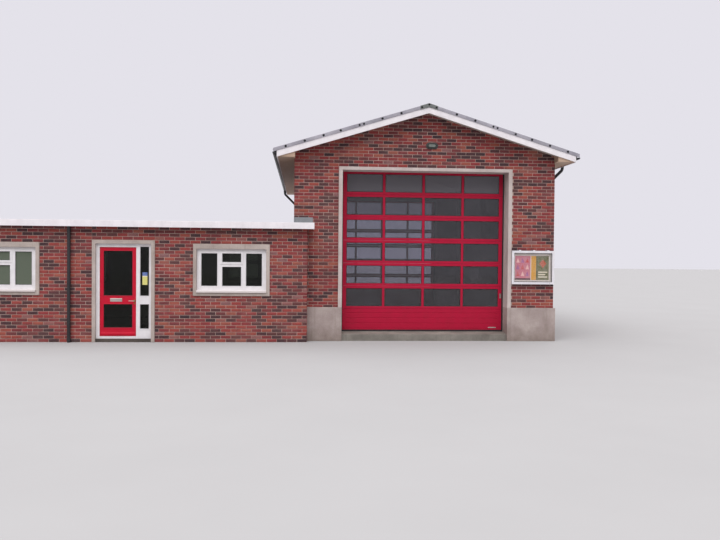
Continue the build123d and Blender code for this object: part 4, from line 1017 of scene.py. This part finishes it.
shape = Shape()
sheet_low, sheet_high = inside[2] + 0.022, inside[3] - 0.040
PENNANT, PENNANT_COLOURS = ((0.09, 0.16), (0.31, 0.16), (0.20, 0.36)), (2, 5, 3)
pennants = [([(u + 0.30 * i, v + 0.28 * j) for u, v in PENNANT], PENNANT_COLOURS[(i + 2 * j) % 3])
            for i in range(3) for j in range(3)]
sheet_of_paper(shape, (inside[0] + 0.003, inside[0] + 0.375, sheet_low, sheet_high), 1, on_pier, paper,
               pennants + [(oblong(0.0, 1.0, 0.0, 0.07), 4)])
lines = [(oblong(0.40, 0.92 - 0.12 * (i % 2), 0.10 + 0.10 * i, 0.15 + 0.10 * i), 0) for i in range(3)]
sheet_of_paper(shape, (inside[0] + 0.392, inside[1] - 0.035, sheet_low, sheet_high), 6, on_pier, paper,
               lines + [(oblong(0.0, 0.28, 0.0, 1.0), 8), (oblong(0.28, 0.33, 0.0, 1.0), 11),
                        ([(0.66, 0.50), (0.86, 0.68), (0.66, 0.86), (0.46, 0.68)], 7)])
shape.build("notice_sheets", ["print"], "notice_frame")
shape, y = Shape(), board_low.y
rod(shape, [(LOCK_X, y + 0.001, LOCK_Z), (LOCK_X, y - 0.003, LOCK_Z)], 0.009, 16)
shape.block((LOCK_X - 0.004, y - 0.0036, LOCK_Z - 0.0015), (LOCK_X + 0.004, y - 0.003, LOCK_Z + 0.0015), 1)
shape.build("notice_lock", ["handle_metal", "dark_cap"], "handle_metal", body="board_door", edge=0.0003)
shape = Shape()
loft(shape, grown(in_board(GLASS_RIM), (-0.006, -0.004), (-0.005, -0.0060), (0.0, -0.0085), (0.0, -0.004)),
     front(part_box("notice_board_glass")[0].y + 0.004))
shape.build("notice_gasket", ["door_seal"], "door_seal", body="board_door")

# Wing windows: planted beads round each light
glass_low, glass_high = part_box("window_glass")
FRAME_FACE, GLASS_FACE, FRAME_SIDE, MULLION, SIDE_LIGHT = 0.040, 0.063, 0.095, 0.105, 0.355
SURROUND, VENT_LIGHT, TRANSOM, VENT_PROUD = 0.075, 0.198, 0.100, 0.012
low, high, vent = glass_low.z, glass_high.z, glass_high.z - VENT_LIGHT
shape = Shape()
for place, turn in ((front(WING_F), tuple), (back(WING_B), turned)):
    for x0, x1, _, _ in windows:
        u0, u1 = x0 + SURROUND + FRAME_SIDE, x1 - SURROUND - FRAME_SIDE
        inner0, inner1 = u0 + SIDE_LIGHT + MULLION, u1 - SIDE_LIGHT - MULLION
        for rect in ((u0, u0 + SIDE_LIGHT, low, high), (u1 - SIDE_LIGHT, u1, low, high),
                     (inner0, inner1, low, vent - TRANSOM)):
            glaze(shape, turn(rect), place, FRAME_FACE, GLASS_FACE)
        glaze(shape, turn((inner0, inner1, vent, high)), place, FRAME_FACE - VENT_PROUD, GLASS_FACE)
shape.build("window_beads", ["white_frame", "door_seal"], "white_frame")

# Wing door: beads round the lights, a weather bar, lever handles, letter plate and locks
LEAF_FACE, LEAF_BACK, LEAF_STILE, LEAF_WIDTH, BAR_INSET = leaf_low.y, leaf_low.y + 0.054, 0.091, 0.805, 0.030
LIGHT_LOW, LIGHT_MIDDLE, RAIL_TOP, LIGHT_TOP = 0.311, 0.834, 1.017, 2.009
leaf_left, leaf_right = leaf_high.x - LEAF_WIDTH, leaf_high.x
shape = Shape()
for z0, z1 in ((RAIL_TOP, LIGHT_TOP), (LIGHT_LOW, LIGHT_MIDDLE)):
    rect = (leaf_left + LEAF_STILE, leaf_right - LEAF_STILE, z0, z1)
    glaze(shape, rect, front(LEAF_FACE), 0.0, 0.015)
    glaze(shape, turned(rect), back(LEAF_BACK), 0.0, 0.015)
shape.build("wing_door_beads", ["red_leaf", "door_seal"], "red_leaf", body="wing_door")
shape = Shape()
WEATHER_BAR = ((0.0, 0.216), (0.003, 0.216), (0.013, 0.186), (0.013, 0.160), (0.008, 0.150), (0.0, 0.150))
prism(shape, WEATHER_BAR, lambda out, z, x: (x, LEAF_FACE - out, z),
      leaf_left + BAR_INSET, leaf_right - BAR_INSET)
shape.build("wing_door_weather_bar", ["red_leaf"], "red_leaf", body="wing_door", edge=0.001)
shape = Shape()
handle_x, handle_z, lock_z, letter_z = leaf_right - LEAF_STILE / 2, 0.907, 0.849, 0.9255
for face, out in ((LEAF_FACE, -1), (LEAF_BACK, 1)):
    for z, depths, radii, sides in ((handle_z, (0.0, 0.005, 0.008), [0.027, 0.027, 0.023], 28),
                                    (lock_z, (0.0, 0.004, 0.006), [0.016, 0.016, 0.013], 20)):
        rod(shape, [(handle_x, face + out * d, z) for d in depths], radii, sides, 1)
    lever = rounded([(handle_x, face, handle_z), (handle_x, face + out * 0.045, handle_z),
                     (handle_x - 0.120, face + out * 0.043, handle_z)], 0.016)
    rod(shape, lever, [0.010] + [0.0085] * (len(lever) - 2) + [0.0075], 14)
plate = (leaf_low.x + 0.243, leaf_low.x + 0.501, letter_z - 0.037, letter_z + 0.037)
loft(shape, grown(plate, (0.0, 0.001), (0.0, -0.004), (-0.004, -0.007), (-0.020, -0.007), (-0.023, -0.004),
                  (-0.025, -0.0065)), front(LEAF_FACE), closed=False)
shape.build("wing_door_furniture", ["handle_metal", "brass"], "handle_metal", body="wing_door",
            replaces=["wing_door_handle"])

# Sidelight: beads, and a plain two-colour card behind the glass
slim_low, slim_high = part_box("sidelight_glass")
frame_y = WING_F + FRAME_FACE
shape = Shape()
for z0, z1 in ((RAIL_TOP, slim_high.z), (slim_low.z, LIGHT_MIDDLE)):
    glaze(shape, (slim_low.x, slim_high.x, z0, z1), front(frame_y), 0.0, slim_low.y - frame_y)
shape.build("sidelight_beads", ["white_frame", "door_seal"], "white_frame")
shape = Shape()
sheet_of_paper(shape, (slim_low.x + 0.046, slim_high.x - 0.040, 1.262, 1.540), 0, front(slim_low.y), -0.0001,
               [(oblong(0.0, 1.0, 0.72, 1.0), 10), (oblong(0.0, 1.0, 0.0, 0.66), 9)])
shape.build("sidelight_card", ["print"], "notice_frame")

# Wing roof: felt sheets with laps, a metal edge trim, and lead where it meets the bay
FELT_WIDTH, FELT_LAP, FELT_EDGE, FELT_GAP, FELT_THICK, LAP_THICK = 0.92, 0.08, 0.01, 0.004, 0.0045, 0.0085
felt, trim, lead = Shape(), Shape(), Shape()
felt_low, felt_front, felt_back = roof_high.z, roof_low.y + FELT_EDGE, roof_high.y - FELT_EDGE


def felt_rear(x):
    """How far back the felt runs where it ends at x: to the rear edge, or to the bay's front wall."""
    return felt_back if x <= BAY_L else BAY_F - FELT_GAP


x, number = roof_low.x + FELT_EDGE, 0
while x < roof_high.x - 2 * FELT_EDGE:
    stop = min(x + FELT_WIDTH + FELT_LAP, roof_high.x - FELT_EDGE)
    start = x
    if x < BAY_L < stop:
        start = BAY_L - FELT_GAP
        felt.block((x, felt_front, felt_low), (start, felt_back, felt_low + FELT_THICK))
    tone, top = dice.random(), felt_low + FELT_THICK + 0.001 * (number % 2)
    felt.block((start, felt_front, felt_low), (stop, felt_rear(stop), top), 0, tone)
    if number:
        lap = x + FELT_LAP
        felt.block((x, felt_front, felt_low), (lap, felt_rear(lap), felt_low + LAP_THICK), 0, tone * 0.6)
    x += FELT_WIDTH
    number += 1
felt.build("wing_felt_sheets", ["felt"], "felt", edge=0.001)
fascia_low, fascia_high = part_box("wing_fascia")
TRIM_IN, TRIM_WIDTH = 0.0005, 0.026
x0, x1 = fascia_low.x + TRIM_IN, fascia_high.x - TRIM_IN
y0, y1 = fascia_low.y + TRIM_IN, fascia_high.y - TRIM_IN
for a, b, c, d in ((x0, x1, y0, y0 + TRIM_WIDTH), (x0, x0 + TRIM_WIDTH, y0 + TRIM_WIDTH, y1 - TRIM_WIDTH),
                   (x1 - TRIM_WIDTH, x1, y0 + TRIM_WIDTH, BAY_F - 0.002),
                   (x0, BAY_L - 0.002, y1 - TRIM_WIDTH, y1)):
    trim.block((a, c, fascia_high.z - 0.022), (b, d, fascia_high.z + 0.012))
trim.build("wing_edge_trim", ["white_board"], "white_board", edge=0.002)
LEAD_LOW, LEAD_ON, LEAD_PAST, UPSTAND = roof_high.z + 0.009, 0.090, 0.12, 0.15
lead_x, lead_y = BAY_L - 0.0005, BAY_F - 0.0005
for a, b, c, d, rise in (
    (BAY_L - 0.003, lead_x, BAY_F, WING_B + LEAD_PAST, UPSTAND),
    (BAY_L - LEAD_ON, lead_x, BAY_F - 0.004, WING_B + LEAD_PAST, 0.003),
    (BAY_L - 0.003, WING_R + LEAD_PAST, BAY_F - 0.003, lead_y, UPSTAND),
    (BAY_L - LEAD_ON, WING_R + LEAD_PAST, BAY_F - LEAD_ON, lead_y, 0.003),
):
    lead.block((a, c, LEAD_LOW), (b, d, LEAD_LOW + rise))
lead.build("wing_roof_flashing", ["lead"], "roof_trim", edge=0.0008)

# Floor, light and camera
floor_mesh = bpy.data.meshes.new("studio_floor")
floor_mesh.from_pydata([(-80, -60, 0), (90, -60, 0), (90, 110, 0), (-80, 110, 0)], [], [(0, 1, 2, 3)])
floor = bpy.data.objects.new("studio_floor", floor_mesh)
SCENE.collection.objects.link(floor)
ground = Look("studio_floor", 0.95, Specular_IOR_Level=0.1)
shade = ground.ramp(ground.noise(0.5, 3.0), (0.2, rgb(163, 161, 161)), (0.8, rgb(166, 164, 164)))
ground.to("Base Color", shade)
floor_mesh.materials.append(ground.material)

SKY_LOW, SKY_HIGH, SKY_TINT = 0.03, 2.2, (0.97, 0.97, 1.0, 1)
world = SCENE.world = bpy.data.worlds.new("studio_sky")
world.use_nodes = True
sky = world.node_tree
direction = add_node(sky, "ShaderNodeTexCoord").outputs["Generated"]
height = add_node(sky, "ShaderNodeSeparateXYZ", {0: direction}).outputs["Z"]
strength = add_node(sky, "ShaderNodeMapRange", {
    "Value": height, "From Min": 0.0, "From Max": 1.0, "To Min": SKY_LOW, "To Max": SKY_HIGH}).outputs[0]
cloud = add_node(sky, "ShaderNodeBackground", {"Color": SKY_TINT, "Strength": strength}).outputs[0]
seen = add_node(sky, "ShaderNodeBackground", {"Color": rgb(228, 226, 234), "Strength": 1.0}).outputs[0]
ray = add_node(sky, "ShaderNodeLightPath").outputs
plain = ray["Is Camera Ray"]
for kind in ("Is Glossy Ray", "Is Transmission Ray"):
    plain = add_node(sky, "ShaderNodeMath", {0: plain, 1: ray[kind]}, operation="MAXIMUM").outputs[0]
whole = add_node(sky, "ShaderNodeMixShader", {0: plain, 1: cloud, 2: seen}).outputs[0]
sky.links.new(whole, sky.nodes["World Output"].inputs["Surface"])

lamp = bpy.data.lights.new("soft_key", "SUN")
lamp.energy, lamp.angle = 1.5, math.radians(50)
lamp_object = bpy.data.objects.new("soft_key", lamp)
SCENE.collection.objects.link(lamp_object)
lamp_object.rotation_euler = (math.radians(34), 0, math.radians(-18))

YAW, CAMERA_PITCH, ROLL = math.radians(4.375), math.radians(-1.10), math.radians(0.53)
EYE = (1.02875, -21.9155, 1.95)
ahead = Vector((math.sin(YAW) * math.cos(CAMERA_PITCH), math.cos(YAW) * math.cos(CAMERA_PITCH),
                math.sin(CAMERA_PITCH)))
level = Vector((math.cos(YAW), -math.sin(YAW), 0))
above = level.cross(ahead)
across = level * math.cos(ROLL) + above * math.sin(ROLL)
upward = above * math.cos(ROLL) - level * math.sin(ROLL)
camera_data = bpy.data.cameras.new("camera")
camera_data.sensor_width, camera_data.lens = 36.0, 37.25
camera_data.clip_end = 400
camera = bpy.data.objects.new("camera", camera_data)
SCENE.collection.objects.link(camera)
camera.matrix_world = Matrix([(across[i], upward[i], -ahead[i], EYE[i]) for i in range(3)] + [(0, 0, 0, 1)])
SCENE.camera = camera
SCENE.view_settings.view_transform = "Standard"
